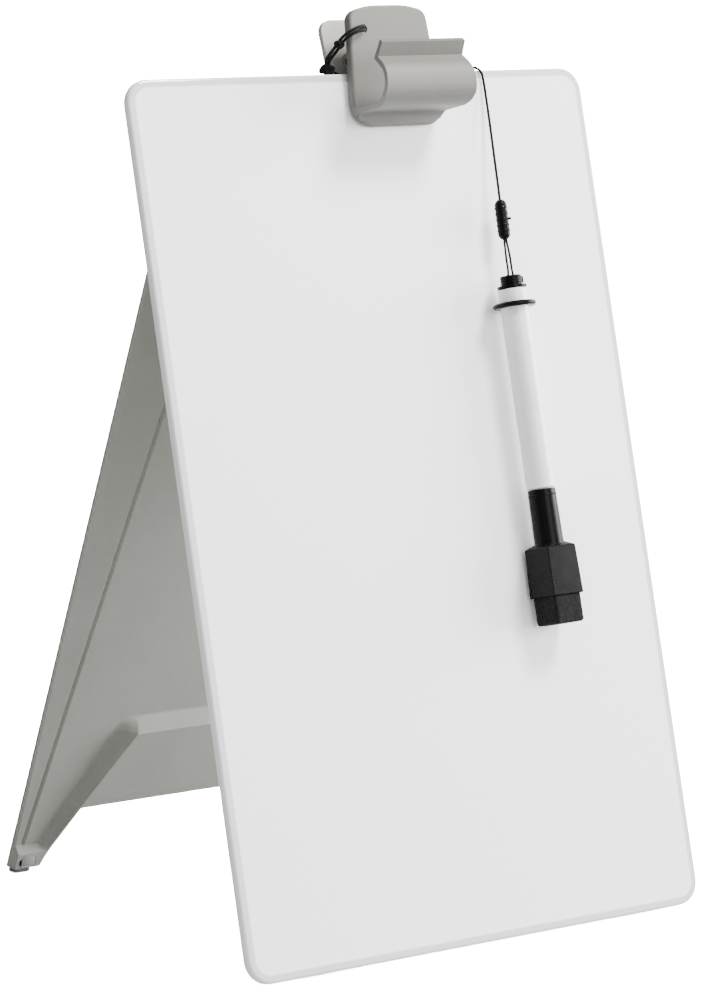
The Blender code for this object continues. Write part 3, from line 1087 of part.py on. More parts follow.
def main():
    clear_scene()
    stand = frame("stand", Matrix.Identity(4))
    board = frame("board_frame", Matrix.Translation((0, 0, BOARD_LIFT)) @ BOARD_AXES, stand)
    hinge = frame("hinge_frame", Matrix.Translation((0, HINGE_DEPTH, HINGE_ALONG)), board)
    leg = frame("leg_frame", Matrix.Translation(HINGE_PLACE) @ Matrix.Rotation(LEG_LEAN, 4, "X"), stand)
    clip = frame("clip_frame", Matrix.Translation((CLIP_OFFSET, 0, GLASS_HEIGHT)), board)
    lever = frame("lever_frame", Matrix.Translation((0, PIVOT_DEPTH, PIVOT_RISE)), clip)
    lock_down = (Vector(LOCK_LOW_PLACE) - Vector(LOCK_TOP_PLACE)).normalized()
    lock_top = Vector(LOCK_TOP_PLACE) + lock_down * LOCK_RADIUS
    lock_low = Vector(LOCK_LOW_PLACE) - lock_down * LOCK_RADIUS
    lock = frame("lock_frame", Matrix.Translation(lock_top), clip)
    swing = frame("swing_frame", Matrix.Translation(lock_low - lock_top), lock)
    marker_place = Vector((MARKER_SIDE, -MARKER_DEPTH, -MARKER_TOP_DROP)) - lock_low
    marker = frame("marker_frame", Matrix.Translation(marker_place), swing)

    build_board(board)
    build_hinge(board, hinge)
    build_leg(leg, stand)
    build_clip_front(clip)
    build_clip_lever(lever)
    build_pivot(clip)
    build_lanyard(clip)
    build_cord_lock(lock, (-lock_down).to_track_quat("Z", "Y").to_matrix().to_4x4())
    loop_frame = frame("loop_frame", Matrix.Translation(-lock_low), swing)
    cord("pen_loop", PEN_LOOP_ROUTE, PEN_LOOP_DIAMETER, BLACK_CORD, loop_frame)
    build_marker(marker)
    build_cap(marker)

    centre_on_origin(stand, ("lanyard_stop_knot", "lanyard_small_knot", "lanyard_big_knot", "cord_lock"))
    tell("board_frame", board)
    tell("leg_hinge", leg)
    tell("clip_slide", clip)
    tell("lever_pivot", lever)
    tell("lock_lift", lock)
    tell("marker_swing", swing, (0, 1, 0))
    tell("cap_slide", marker, (0, 0, -1))


main()
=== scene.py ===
import math

import bmesh
import bpy
from mathutils import Matrix, Vector


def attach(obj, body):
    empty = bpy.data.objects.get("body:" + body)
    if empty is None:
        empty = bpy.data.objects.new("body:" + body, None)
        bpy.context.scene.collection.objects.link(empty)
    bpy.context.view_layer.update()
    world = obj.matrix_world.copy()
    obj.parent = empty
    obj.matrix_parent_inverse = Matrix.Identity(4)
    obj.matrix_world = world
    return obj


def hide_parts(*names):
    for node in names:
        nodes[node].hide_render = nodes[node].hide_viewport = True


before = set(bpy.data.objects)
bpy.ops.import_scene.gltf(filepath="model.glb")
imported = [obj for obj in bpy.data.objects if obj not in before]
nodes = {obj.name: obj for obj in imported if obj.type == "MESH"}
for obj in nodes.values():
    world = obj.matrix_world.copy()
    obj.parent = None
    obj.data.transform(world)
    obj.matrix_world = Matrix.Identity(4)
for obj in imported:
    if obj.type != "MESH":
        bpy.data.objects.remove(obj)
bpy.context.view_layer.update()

MM = 0.001

# Where the part's source puts the board, the clip and the marker
BOARD_LEAN = math.radians(14.6)
BOARD_PLACE = Vector((0, -0.095531, 0.001508))
GLASS_HEIGHT = 320 * MM
GLASS_WIDTH = 200 * MM
GLASS_CORNER = 9 * MM
CLIP_SIDE = 12 * MM
MARKER_TOP = (35.7 * MM, -8.4 * MM, -79.5 * MM)
BOARD_AXES = Matrix.Translation(BOARD_PLACE) @ Matrix.Rotation(-BOARD_LEAN, 4, "X")
CLIP_AXES = BOARD_AXES @ Matrix.Translation((CLIP_SIDE, 0, GLASS_HEIGHT))
MARKER_AXES = CLIP_AXES @ Matrix.Translation(MARKER_TOP)
BOARD_NORMAL = (BOARD_AXES.to_3x3() @ Vector((0, 1, 0))).normalized()

# The photograph's camera, worked out from the glass panel's outline
CAMERA_PLACE = BOARD_PLACE + Vector((-0.73826, -1.01135, 0.36252))
CAMERA_TURN = 0.5932
CAMERA_DIP = 0.158
CAMERA_LENS = 129.58
CAMERA_SENSOR = 36
CAMERA_REACH = (0.05, 60)

# Softboxes: name, place, what it points at, diameter in metres and power in watts.
# The key stands low at the right, so that it shines in between the board and the leg.
SOFTBOXES = (
    ("overhead_softbox", (0.5, -0.7, 1.5), (0, 0, 0.1), 0.5, 52),
    ("key_softbox", (1.5, -0.6, 0.45), (0.05, 0, 0.15), 1.1, 72),
    ("front_softbox", (0.1, -2.2, 1.0), (0, 0.05, 0.2), 1.2, 26),
)

# Surroundings: strength at the left and the right, where it changes, and strength as the camera sees it
WORLD_LEFT = 0.55
WORLD_RIGHT = 0.78
WORLD_CHANGE = (-0.9, 0.6)
BACKDROP_STRENGTH = 22.0

# Floor: the tone that lights the object from below, and the gain that bleaches it for the camera
FLOOR_SIZE = 6
FLOOR_TONE = 0.42
FLOOR_GAIN = 40.0

# Tones of each finish as sRGB hex values: its own, then the two that its pattern goes between
CLIP_TONES = (0x686761, 0x61605B, 0x686761)
# The lever's tones are the clip's warm grey plastic made lighter: painted light for the light that its face catches.
LEVER_PAINTED_LIT_TONES = (0xAAA7A1, 0xA4A19B, 0xAAA7A1)
LEG_TONES = (0xA0A19B, 0x9A9B94, 0xA0A19B)
ENAMEL_TONES = (0xF7F8F8, 0xF5F6F7, 0xF9FAFA)
CLEAR_RUBBER_TONES = (0xD6D8D6, 0xD6D8D6, 0xE2E3E1)
GREY_RUBBER_TONES = (0x565A59, 0x565A59, 0x646866)
STEEL_TONES = (0xC9CACC, 0xB4B6B9, 0xD6D7D8)
FOAM_TONES = (0xE8E8E4, 0xD5D5D0, 0xEFEFEB)
BRAID_TONES = (0x0A0A0B, 0x030303, 0x121213)
BLACK_TONES = (0x080808, 0x080808, 0x090909)
WHITE_TONES = (0xDCDCDC, 0xDCDCDC, 0xD7D7D8)
FELT_TONES = (0x141415, 0x060606, 0x18181A)
FIBRE_TONES = (0x1F1F22, 0x151517, 0x303034)

# Glass: tones of the face, the rim and the ground edge, how wide the rim is, and the share of it in full tone
GLASS_TONES = (0xFDFDFE, 0xCBCECD, 0xFAFBFB)
RIM_WIDTH = 3.4 * MM
RIM_FULL_SHARE = 0.75
RIM_STOP = 0.5
EDGE_FACING = (0.55, 0.97)

# Braid: yarns that go round the cord, and crossings in a length of one diameter
BRAID_YARNS = 6.0
BRAID_CROSSINGS = 4

# Cords: how thick they are and how far their ends go into the knot or the lock
CORD_DIAMETER = 1.0 * MM
STRAND_DIAMETER = 1.2 * MM
PEN_LOOP_DIAMETER = 0.85 * MM
STRAND_SINK = 2.2 * MM
CORD_SINK = 1.2 * MM
LOOP_SINK = 1.6 * MM
LOCK_TOP_PLACE = (0.03693, -0.00708, -0.0505)
LOCK_LOW_PLACE = (0.03625, -0.0076, -0.0658)
LOCK_EDGE = 0.12 * MM

# How finely cords and knots are drawn: sides of a tube, its rings as a share of its diameter, and curve steps
TUBE_SIDES = 12
RING_SHARE = 0.4
ROUTE_STEPS = 24
KNOT_STEPS = 96
TUBE_SHARP_ANGLE = math.radians(60)

# Knots in the clip's frame: place, axis, width, height and the thickness of the cord drawn in them
BIG_KNOT_PLACE = (-0.0226, 0.0062, 0.0029)
BIG_KNOT = (BIG_KNOT_PLACE, (-0.3, 0.5, -0.8), 5.9 * MM, 4.6 * MM, 1.7 * MM)
BIG_KNOT_CORE = (BIG_KNOT_PLACE, (0.9, 0.3, 0.3), 4.6 * MM, 4.4 * MM, 1.8 * MM)
SMALL_KNOT = ((-0.02085, -0.0017, 0.0106), (-0.26, 0.77, -0.59), 4.2 * MM, 3.0 * MM, 1.25 * MM)
STOP_KNOT = ((-0.0117, -0.00112, 0.0154), (0, 1, 0), 4.1 * MM, 3.4 * MM, 1.4 * MM)

# Copies of CAD solids: vertices closer than this merge, faces flatter than this join, sharper edges get a bevel
MERGE_DISTANCE = 0.005 * MM
FLAT_ANGLE = math.radians(0.5)
BEVEL_ANGLE = math.radians(40)
COPY_SMOOTH_DEGREES = 40
FELT_SMOOTH_DEGREES = 80

# Torsion spring about the clip's pivot
PIVOT_DEPTH = 4 * MM
PIVOT_RISE = 5.3 * MM
SPRING_WIRE = 0.9 * MM
COIL_RADIUS = 2.25 * MM
COIL_PITCH = 1.9 * MM
COIL_START = math.radians(24)
COIL_END = math.radians(360 * 5 + 180 - 20)
COIL_STEP = math.radians(15)
COIL_LENGTH = COIL_PITCH * (COIL_END - COIL_START) / (2 * math.pi)
FRONT_ARM = (0, -4.59 * MM, 10.32 * MM)
BACK_ARM = (0, 3.89 * MM, 10.68 * MM)
BACK_ARM_WRAP = math.radians(32)
BACK_WIRE_SHARE = 0.96

# Marker, measured down its axis from the top of the end plug
KNOB_RADIUS = 3.9 * MM
KNOB_BEAD = 0.24 * MM
KNOB_BEAD_TOP = 0.75 * MM
KNOB_BEAD_PITCH = 1.0 * MM
KNOB_BEADS = 3
CAP_TOP = 80.0 * MM
SLEEVE_RADIUS = 5.22 * MM
SNAP_BEAD = 0.2 * MM
SNAP_BEAD_DROP = 2.2 * MM
SNAP_BEAD_STRETCH = 1.4
HOLDER_LOW = 119.6 * MM
HOLDER_TURN = math.radians(3.8)
FELT_WIDTH = 13.1 * MM
FELT_LENGTH = 10.5 * MM
FELT_ROUND = 1.3 * MM
FELT_CELL = 0.22 * MM
FELT_MIDDLE = 0.62
STUB_WIDTH = 10.4 * MM
STUB_LENGTH = 2.6 * MM
STUB_TAPER = 0.1 * MM
FELT_RELIEF = (("felt_tufts", 1.5 * MM, 0.35 * MM), ("felt_hairs", 0.5 * MM, 0.35 * MM))

# Foot of the leg, in the leg's frame
LEG_AXES = Matrix.Translation((0, -0.010769, 0.269392)) @ Matrix.Rotation(math.radians(20.4), 4, "X")
LEG_SETBACK = 2.7 * MM
LEG_LENGTH = 0.288422
LEG_HALF_AT_FLOOR = 93 * MM
FOOT_STEP = 3.4 * MM
COVER_INSET = 5.8 * MM
COVER_RISE = 6.6 * MM
COVER_WIDTH = 6.4 * MM
COVER_HEIGHT = 5.6 * MM
COVER_DEPTH = 0.8 * MM
COVER_PROUD = 0.4 * MM
SLOT_ASIDE_SHARE = 0.6
SLOT_DROP_SHARE = 0.25
SLOT_SINK = 0.45 * MM

# Forms of the cover and the slot, in millimetres, as they are shaped at that scale and brought down afterwards
COVER_ARCH = 2.2
COVER_FRAME = 0.45
GROOVE_WIDTH = 0.12
GROOVE_DEPTH = 0.4
COVER_EDGE = 0.08
SLOT_RADIUS = 0.4
SLOT_DEPTH = 0.6
SLOT_STRETCH = 1.9
SLOT_HOLLOW = 0.1


def set_camera():
    data = bpy.data.cameras.new("photo_camera")
    data.lens = CAMERA_LENS
    data.sensor_width = CAMERA_SENSOR
    data.clip_start, data.clip_end = CAMERA_REACH
    camera = bpy.data.objects.new("photo_camera", data)
    camera.location = CAMERA_PLACE
    camera.rotation_euler = (math.pi / 2 - CAMERA_DIP, 0, -CAMERA_TURN)
    bpy.context.collection.objects.link(camera)
    bpy.context.scene.camera = camera


def area_light(name, place, target, size, power):
    data = bpy.data.lights.new(name, "AREA")
    data.shape = "DISK"
    data.size = size
    data.energy = power
    lamp = bpy.data.objects.new(name, data)
    lamp.location = place
    lamp.rotation_euler = (Vector(target) - Vector(place)).to_track_quat("-Z", "Y").to_euler()
    bpy.context.collection.objects.link(lamp)


def srgb(hex_colour):
    """Linear colour of an sRGB hex value."""
    channels = []
    for shift in (16, 8, 0):
        share = ((hex_colour >> shift) & 255) / 255
        channels.append(share / 12.92 if share <= 0.04045 else ((share + 0.055) / 1.055) ** 2.4)
    return (*channels, 1)


def add(tree, kind, links=None, **settings):
    """Adds a node, sets its settings, then fills or links its inputs by name or number."""
    made = tree.nodes.new(kind)
    for key, value in settings.items():
        setattr(made, key, value)
    for key, value in (links or {}).items():
        if isinstance(value, bpy.types.NodeSocket):
            tree.links.new(value, made.inputs[key])
        else:
            made.inputs[key].default_value = value
    return made


def scalar_math(tree, operation, *values):
    return add(tree, "ShaderNodeMath", dict(enumerate(values)), operation=operation).outputs[0]


def vector_math(tree, operation, *values):
    made = add(tree, "ShaderNodeVectorMath", dict(enumerate(values)), operation=operation)
    return made.outputs["Value" if operation in ("LENGTH", "DOT_PRODUCT") else "Vector"]


def object_place(tree):
    return add(tree, "ShaderNodeTexCoord").outputs["Object"]


def noise(tree, place, size, **inputs):
    """Noise whose widest features have a given size."""
    return add(tree, "ShaderNodeTexNoise", {"Vector": place, "Scale": 1 / size, **inputs}).outputs["Fac"]


def new_material(name, tones, roughness, **shader_values):
    """Material in a finish's own tone, with the tree and the shader that its patterns are added to."""
    made = bpy.data.materials.new(name)
    made.use_nodes = True
    shader = made.node_tree.nodes["Principled BSDF"]
    shader.inputs["Base Color"].default_value = srgb(tones[0])
    shader.inputs["Roughness"].default_value = roughness
    for key, value in shader_values.items():
        shader.inputs[key.replace("_", " ")].default_value = value
    return made, made.node_tree, shader


def two_tones(tree, shader, factor, tones, spread=(0.35, 0.65)):
    """Base colour that goes between a finish's last two tones with a pattern."""
    ramp = add(tree, "ShaderNodeValToRGB", {"Fac": factor})
    ramp.color_ramp.elements[0].position, ramp.color_ramp.elements[1].position = spread
    ramp.color_ramp.elements[0].color = srgb(tones[1])
    ramp.color_ramp.elements[1].color = srgb(tones[2])
    tree.links.new(ramp.outputs["Color"], shader.inputs["Base Color"])


def roughness_range(tree, shader, factor, low, high):
    spread = add(tree, "ShaderNodeMapRange", {"Value": factor, "To Min": low, "To Max": high})
    tree.links.new(spread.outputs["Result"], shader.inputs["Roughness"])


def bump(tree, shader, height, strength, distance):
    made = add(tree, "ShaderNodeBump", {"Height": height, "Strength": strength, "Distance": distance})
    tree.links.new(made.outputs["Normal"], shader.inputs["Normal"])


def moulded_plastic(name, tones, roughness, grain_size, grain_height):
    """Injection-moulded plastic: a fine spark-eroded grain, a slow change of tone and slightly uneven gloss."""
    made, tree, shader = new_material(name, tones, roughness, IOR=1.5)
    place = object_place(tree)
    cloud = noise(tree, place, size=40 * MM, Detail=3.0)
    two_tones(tree, shader, cloud, tones, spread=(0.3, 0.7))
    grain = noise(tree, place, size=grain_size, Detail=2.0)
    roughness_range(tree, shader, grain, low=roughness - 0.05, high=roughness + 0.07)
    bump(tree, shader, grain, strength=0.6, distance=grain_height)
    return made


def panel_glass():
    """Back-enamelled float glass: glossy and white over the face, greyer where the ground rim shows the glass."""
    made, tree, shader = new_material("back_enamelled_float_glass", GLASS_TONES, 0.07, IOR=1.52)
    upright = add(tree, "ShaderNodeVectorRotate", {
        "Vector": object_place(tree), "Center": BOARD_PLACE, "Axis": (1, 0, 0), "Angle": BOARD_LEAN,
    }, rotation_type="AXIS_ANGLE")
    centre = BOARD_PLACE + Vector((0, 0, GLASS_HEIGHT / 2))
    across = vector_math(tree, "SUBTRACT", upright.outputs[0], centre)
    flat = vector_math(tree, "MULTIPLY", across, (1, 0, 1))
    folded = vector_math(tree, "ABSOLUTE", flat)
    reach = (GLASS_WIDTH / 2 - GLASS_CORNER, 0, GLASS_HEIGHT / 2 - GLASS_CORNER)
    past = vector_math(tree, "SUBTRACT", folded, reach)
    outside = vector_math(tree, "MAXIMUM", past, (0, 0, 0))
    rim = add(tree, "ShaderNodeMapRange", {
        "Value": vector_math(tree, "LENGTH", outside), "From Min": GLASS_CORNER - RIM_WIDTH,
        "From Max": GLASS_CORNER - RIM_WIDTH * RIM_FULL_SHARE, "To Min": 0.0, "To Max": RIM_STOP,
    }, interpolation_type="SMOOTHSTEP")
    facing = add(tree, "ShaderNodeNewGeometry").outputs["Normal"]
    flatness = scalar_math(tree, "ABSOLUTE", vector_math(tree, "DOT_PRODUCT", facing, BOARD_NORMAL))
    edge = add(tree, "ShaderNodeMapRange", {
        "Value": flatness, "From Min": EDGE_FACING[0], "From Max": EDGE_FACING[1], "To Min": 1.0, "To Max": 0.0})
    bare = scalar_math(tree, "MAXIMUM", rim.outputs[0], edge.outputs[0])
    ramp = add(tree, "ShaderNodeValToRGB", {"Fac": bare})
    ramp.color_ramp.elements.new(RIM_STOP)
    for element, tone in zip(ramp.color_ramp.elements, GLASS_TONES):
        element.color = srgb(tone)
    tree.links.new(ramp.outputs["Color"], shader.inputs["Base Color"])
    return made


def white_coating():
    """Screen-printed enamel on the back of the glass: an even white with a faint mottle."""
    made, tree, shader = new_material("screen_printed_white_enamel", ENAMEL_TONES, 0.32, IOR=1.5)
    mottle = noise(tree, object_place(tree), size=12 * MM, Detail=4.0)
    two_tones(tree, shader, mottle, ENAMEL_TONES)
    roughness_range(tree, shader, mottle, low=0.28, high=0.38)
    return made


def soft_rubber(name, tones, roughness, **shader_values):
    """Moulded elastomer: a dull skin with a fine dry bloom."""
    made, tree, shader = new_material(name, tones, roughness, IOR=1.52, **shader_values)
    bloom = noise(tree, object_place(tree), size=0.9 * MM, Detail=4.0)
    two_tones(tree, shader, bloom, tones)
    bump(tree, shader, bloom, strength=0.4, distance=0.05 * MM)
    return made


def drawn_steel():
    """Cold-drawn spring steel: bright, with fine lines along the wire."""
    made, tree, shader = new_material("drawn_bright_steel", STEEL_TONES, 0.28, Metallic=1.0)
    long_way = add(tree, "ShaderNodeMapping", {"Vector": object_place(tree), "Scale": (0.05, 1, 1)})
    lines = noise(tree, long_way.outputs["Vector"], size=0.25 * MM)
    two_tones(tree, shader, lines, STEEL_TONES)
    roughness_range(tree, shader, lines, low=0.2, high=0.38)
    return made


def closed_foam():
    """Closed-cell foam of a double-sided tape: dull white with small pits."""
    made, tree, shader = new_material("closed_cell_foam", FOAM_TONES, 0.9)
    cells = add(tree, "ShaderNodeTexVoronoi", {"Vector": object_place(tree), "Scale": 1 / (0.35 * MM)})
    two_tones(tree, shader, cells.outputs["Distance"], FOAM_TONES, spread=(0.0, 0.6))
    bump(tree, shader, cells.outputs["Distance"], strength=0.5, distance=0.08 * MM)
    return made


def braided_cord(name, diameter):
    """Polyester braid: two sets of yarns that cross round the cord, drawn from the piece's own UV in metres."""
    made, tree, shader = new_material(
        name, BRAID_TONES, 0.8, Sheen_Weight=0.06, Sheen_Roughness=0.5, Specular_IOR_Level=0.2)
    around = add(tree, "ShaderNodeUVMap", uv_map="UVMap").outputs["UV"]
    split = add(tree, "ShaderNodeSeparateXYZ", {"Vector": around})
    turns = scalar_math(tree, "MULTIPLY", split.outputs["X"], BRAID_YARNS)
    along = scalar_math(tree, "MULTIPLY", split.outputs["Y"], BRAID_CROSSINGS / diameter)
    heights = []
    for way in ("ADD", "SUBTRACT"):
        lay = scalar_math(tree, way, along, turns)
        wave = scalar_math(tree, "SINE", scalar_math(tree, "MULTIPLY", lay, math.pi))
        heights.append(scalar_math(tree, "ABSOLUTE", wave))
    yarn = scalar_math(tree, "MULTIPLY", *heights)
    two_tones(tree, shader, yarn, BRAID_TONES, spread=(0.1, 0.8))
    bump(tree, shader, yarn, strength=0.8, distance=0.08 * MM)
    return made


def gloss_plastic(name, tones, roughness, gloss):
    """Moulded styrenic plastic: smooth, with faint flow marks and small scuffs in the gloss."""
    made, tree, shader = new_material(name, tones, roughness, IOR=1.54, Specular_IOR_Level=gloss)
    flow = noise(tree, object_place(tree), size=6 * MM, Detail=2.0)
    two_tones(tree, shader, flow, tones)
    roughness_range(tree, shader, flow, low=roughness - 0.08, high=roughness + 0.1)
    bump(tree, shader, flow, strength=0.15, distance=0.03 * MM)
    return made


def wool_felt():
    """Needled felt: matted fibres that scatter light, black with greyer loose ends."""
    made, tree, shader = new_material(
        "needled_black_felt", FELT_TONES, 1.0, Sheen_Weight=0.05, Sheen_Roughness=0.6, Specular_IOR_Level=0.1)
    fibre = noise(tree, object_place(tree), size=0.5 * MM, Detail=6.0, Roughness=0.75, Distortion=1.5)
    two_tones(tree, shader, fibre, FELT_TONES, spread=(0.4, 0.72))
    bump(tree, shader, fibre, strength=1.0, distance=0.25 * MM)
    return made


def ink_fibre():
    """Bonded polyester fibre full of black ink: fine grooves along the length."""
    made, tree, shader = new_material("bonded_ink_fibre", FIBRE_TONES, 0.85)
    long_way = add(tree, "ShaderNodeMapping", {"Vector": object_place(tree), "Scale": (1, 1, 0.08)})
    grooves = noise(tree, long_way.outputs["Vector"], size=0.4 * MM)
    two_tones(tree, shader, grooves, FIBRE_TONES)
    bump(tree, shader, grooves, strength=0.6, distance=0.06 * MM)
    return made


set_camera()
GLASS = panel_glass()
ENAMEL = white_coating()
CLIP_PLASTIC = moulded_plastic(
    "warm_grey_moulded_abs", CLIP_TONES, roughness=0.55, grain_size=0.5 * MM, grain_height=0.012 * MM)
# The lever gets the clip's plastic in a lighter tone, as painted light that stands for the light falling on it.
LEVER_PAINTED_LIT_PLASTIC = moulded_plastic(
    "warm_grey_moulded_abs_painted_lit", LEVER_PAINTED_LIT_TONES, roughness=0.55, grain_size=0.5 * MM, grain_height=0.012 * MM)
LEG_PLASTIC = moulded_plastic(
    "grey_moulded_polypropylene", LEG_TONES, roughness=0.5, grain_size=0.7 * MM, grain_height=0.02 * MM)
CLEAR_RUBBER = soft_rubber("clear_moulded_elastomer", CLEAR_RUBBER_TONES, roughness=0.45, Transmission_Weight=0.2)
GREY_RUBBER = soft_rubber("dark_grey_moulded_rubber", GREY_RUBBER_TONES, roughness=0.8)
STEEL = drawn_steel()
FOAM = closed_foam()
CORD_BRAID = braided_cord("black_polyester_braid", CORD_DIAMETER)
LOOP_BRAID = braided_cord("thin_black_polyester_braid", PEN_LOOP_DIAMETER)
BLACK_PLASTIC = gloss_plastic("black_moulded_styrene", BLACK_TONES, roughness=0.28, gloss=0.06)
WHITE_PLASTIC = gloss_plastic("white_moulded_polypropylene", WHITE_TONES, roughness=0.3, gloss=0.5)
FELT = wool_felt()
FIBRE = ink_fibre()

NODE_LOOKS = {
    "glass_panel": GLASS, "white_backing": ENAMEL, "mounting_tape": FOAM, "hinge_bracket": LEG_PLASTIC,
    "hinge_pin": STEEL, "pin_cap_left": BLACK_PLASTIC, "pin_cap_right": BLACK_PLASTIC,
    "board_foot_left": CLEAR_RUBBER, "board_foot_right": CLEAR_RUBBER, "support_leg": LEG_PLASTIC,
    "leg_foot_pad_left": GREY_RUBBER, "leg_foot_pad_right": GREY_RUBBER, "clip_front_grip": CLIP_PLASTIC,
    "clip_front_pad": GREY_RUBBER, "clip_pivot_pin": STEEL, "clip_spring": STEEL,
    "lanyard_small_knot": CORD_BRAID, "lanyard_big_knot": CORD_BRAID, "lanyard_stop_knot": CORD_BRAID,
    "lanyard_upper_strand": CORD_BRAID, "lanyard_lower_strand": CORD_BRAID, "lanyard_cord": CORD_BRAID,
    "pen_loop": LOOP_BRAID, "cord_lock": BLACK_PLASTIC, "clip_rear_lever": LEVER_PAINTED_LIT_PLASTIC,
    "clip_rear_pad": GREY_RUBBER, "marker_end_plug": BLACK_PLASTIC, "marker_barrel": WHITE_PLASTIC,
    "marker_ring": BLACK_PLASTIC, "ink_reservoir": FIBRE, "marker_tip": BLACK_PLASTIC, "marker_nib": FIBRE,
    "marker_cap": BLACK_PLASTIC, "marker_eraser": FELT,
}


def dress_nodes():
    for name, look in NODE_LOOKS.items():
        for slot in nodes[name].material_slots:
            slot.material = look


# Routes of the cords in the clip's frame, in metres, as in the part's source
UPPER_STRAND_ROUTE = (
    (-0.0117, -0.00335, 0.01605), (-0.0117, -0.0046, 0.01605), (-0.0120, -0.0063, 0.01605),
    (-0.0134, -0.0076, 0.01585), (-0.0156, -0.0079, 0.01535), (-0.0180, -0.0071, 0.0145),
    (-0.0199, -0.0052, 0.0134), (-0.0210, -0.0029, 0.0119), (-0.0217, -0.0008, 0.0103),
    (-0.0226, 0.0012, 0.0086), (-0.0233, 0.0032, 0.0070), (-0.02345, 0.0045, 0.00585),
)
LOWER_STRAND_ROUTE = (
    (-0.0117, -0.00335, 0.01475), (-0.0117, -0.0046, 0.01475), (-0.0120, -0.0062, 0.01475),
    (-0.0132, -0.0074, 0.01455), (-0.0153, -0.0077, 0.0141), (-0.0176, -0.0069, 0.0133),
    (-0.0193, -0.0049, 0.0122), (-0.0201, -0.0026, 0.0108), (-0.0206, -0.0005, 0.0093),
    (-0.0213, 0.0015, 0.0078), (-0.0219, 0.0034, 0.0066), (-0.0220, 0.0045, 0.0057),
)
MAIN_CORD_ROUTE = (
    (-0.0194, 0.0063, 0.0017), (-0.0178, 0.0063, 0.0010), (-0.0150, 0.0062, 0.0002),
    (-0.0100, 0.0061, -0.0004), (-0.0020, 0.0060, -0.0008), (0.0060, 0.0060, -0.0009),
    (0.0140, 0.0059, -0.0007), (0.0220, 0.0058, -0.0003), (0.0290, 0.0054, 0.0004),
    (0.0340, 0.0042, 0.0011), (0.0376, 0.0022, 0.00135), (0.0400, 0.0003, 0.0009),
    (0.0413, -0.0009, -0.0009), (0.0416, -0.0013, -0.0040), (0.0412, -0.0020, -0.0120),
    (0.0402, -0.0033, -0.0220), (0.0390, -0.0047, -0.0325), (0.0379, -0.0060, -0.0425),
    (0.03697, -0.00703, -0.0502),
)
PEN_LOOP_ROUTE = (
    (0.0358, -0.0077, -0.0662), (0.0356, -0.0078, -0.0690), (0.0353, -0.0080, -0.0730),
    (0.0351, -0.0083, -0.0772), (0.0346, -0.0084, -0.0796), (0.03402, -0.0084, -0.0814),
    (0.0345, -0.0084, -0.0826), (0.0357, -0.0084, -0.0831), (0.0369, -0.0084, -0.0826),
    (0.03738, -0.0084, -0.0814), (0.0371, -0.0084, -0.0796), (0.0369, -0.0083, -0.0772),
    (0.0371, -0.0080, -0.0730), (0.0370, -0.0078, -0.0690), (0.0368, -0.0077, -0.0662),
)


def smooth_route(points, step):
    """Points at even distances on the smooth curve through a route, and the curve's length."""
    guides = [Vector(point) for point in points]
    guides = [2 * guides[0] - guides[1]] + guides + [2 * guides[-1] - guides[-2]]
    fine = []
    for index in range(1, len(guides) - 2):
        p0, p1, p2, p3 = guides[index - 1:index + 3]
        for part in range(ROUTE_STEPS):
            t = part / ROUTE_STEPS
            fine.append(0.5 * (
                2 * p1 + (p2 - p0) * t + (2 * p0 - 5 * p1 + 4 * p2 - p3) * t ** 2
                + (3 * p1 - p0 - 3 * p2 + p3) * t ** 3
            ))
    fine.append(guides[-2])
    length = sum((b - a).length for a, b in zip(fine, fine[1:]))
    count = max(2, round(length / step))
    even, walked, target = [fine[0]], 0.0, length / count
    for a, b in zip(fine, fine[1:]):
        span = (b - a).length
        while walked + span >= target * len(even) and len(even) < count:
            even.append(a.lerp(b, (target * len(even) - walked) / span))
        walked += span
    even.append(fine[-1])
    return even, length


def braided_tube(name, points, diameter, look, closed=False):
    """Round tube along points, with a UV map that counts turns across and metres along."""
    bm = bmesh.new()
    uv = bm.loops.layers.uv.new("UVMap")
    count = len(points)
    rings, walked = [], [0.0]
    side = None
    for index, point in enumerate(points):
        before = points[index - 1] if index or closed else point
        after = points[(index + 1) % count] if index < count - 1 or closed else point
        way = (after - before).normalized()
        side = way.orthogonal() if side is None else side - way * side.dot(way)
        side.normalize()
        other = way.cross(side)
        if index:
            walked.append(walked[-1] + (point - points[index - 1]).length)
        rings.append([
            bm.verts.new(point + (side * math.cos(turn) + other * math.sin(turn)) * diameter / 2)
            for turn in (2 * math.pi * step / TUBE_SIDES for step in range(TUBE_SIDES))
        ])
    if closed:
        walked.append(walked[-1] + (points[0] - points[-1]).length)
        shift = min(range(TUBE_SIDES), key=lambda step: (rings[0][step].co - rings[-1][0].co).length)
        rings.append(rings[0][shift:] + rings[0][:shift])
    for low, high in zip(range(len(rings) - 1), range(1, len(rings))):
        for step in range(TUBE_SIDES):
            ahead = (step + 1) % TUBE_SIDES
            face = bm.faces.new((rings[low][step], rings[low][ahead], rings[high][ahead], rings[high][step]))
            places = ((step, low), (step + 1, low), (step + 1, high), (step, high))
            for loop, (turn, ring) in zip(face.loops, places):
                loop[uv].uv = (turn / TUBE_SIDES, walked[ring])
    if not closed:
        bm.faces.new(rings[0][::-1])
        bm.faces.new(rings[-1])
    bmesh.ops.recalc_face_normals(bm, faces=bm.faces)
    mesh = bpy.data.meshes.new(name)
    bm.to_mesh(mesh)
    bm.free()
    mesh.materials.append(look)
    mesh.shade_smooth()
    mesh.set_sharp_from_angle(angle=TUBE_SHARP_ANGLE)
    made = bpy.data.objects.new(name, mesh)
    bpy.context.collection.objects.link(made)
    return made


def make_cord(name, node, route, diameter, look, body):
    points, length = smooth_route([CLIP_AXES @ Vector(point) for point in route], diameter * RING_SHARE)
    made = braided_tube(name, points, diameter, look)
    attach(made, body)
    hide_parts(node)
    return made, points, length


def into(point, target, depth):
    """Point a given depth past a route's end, on the way to what the cord goes into."""
    return tuple(Vector(point) + (Vector(target) - Vector(point)).normalized() * depth)


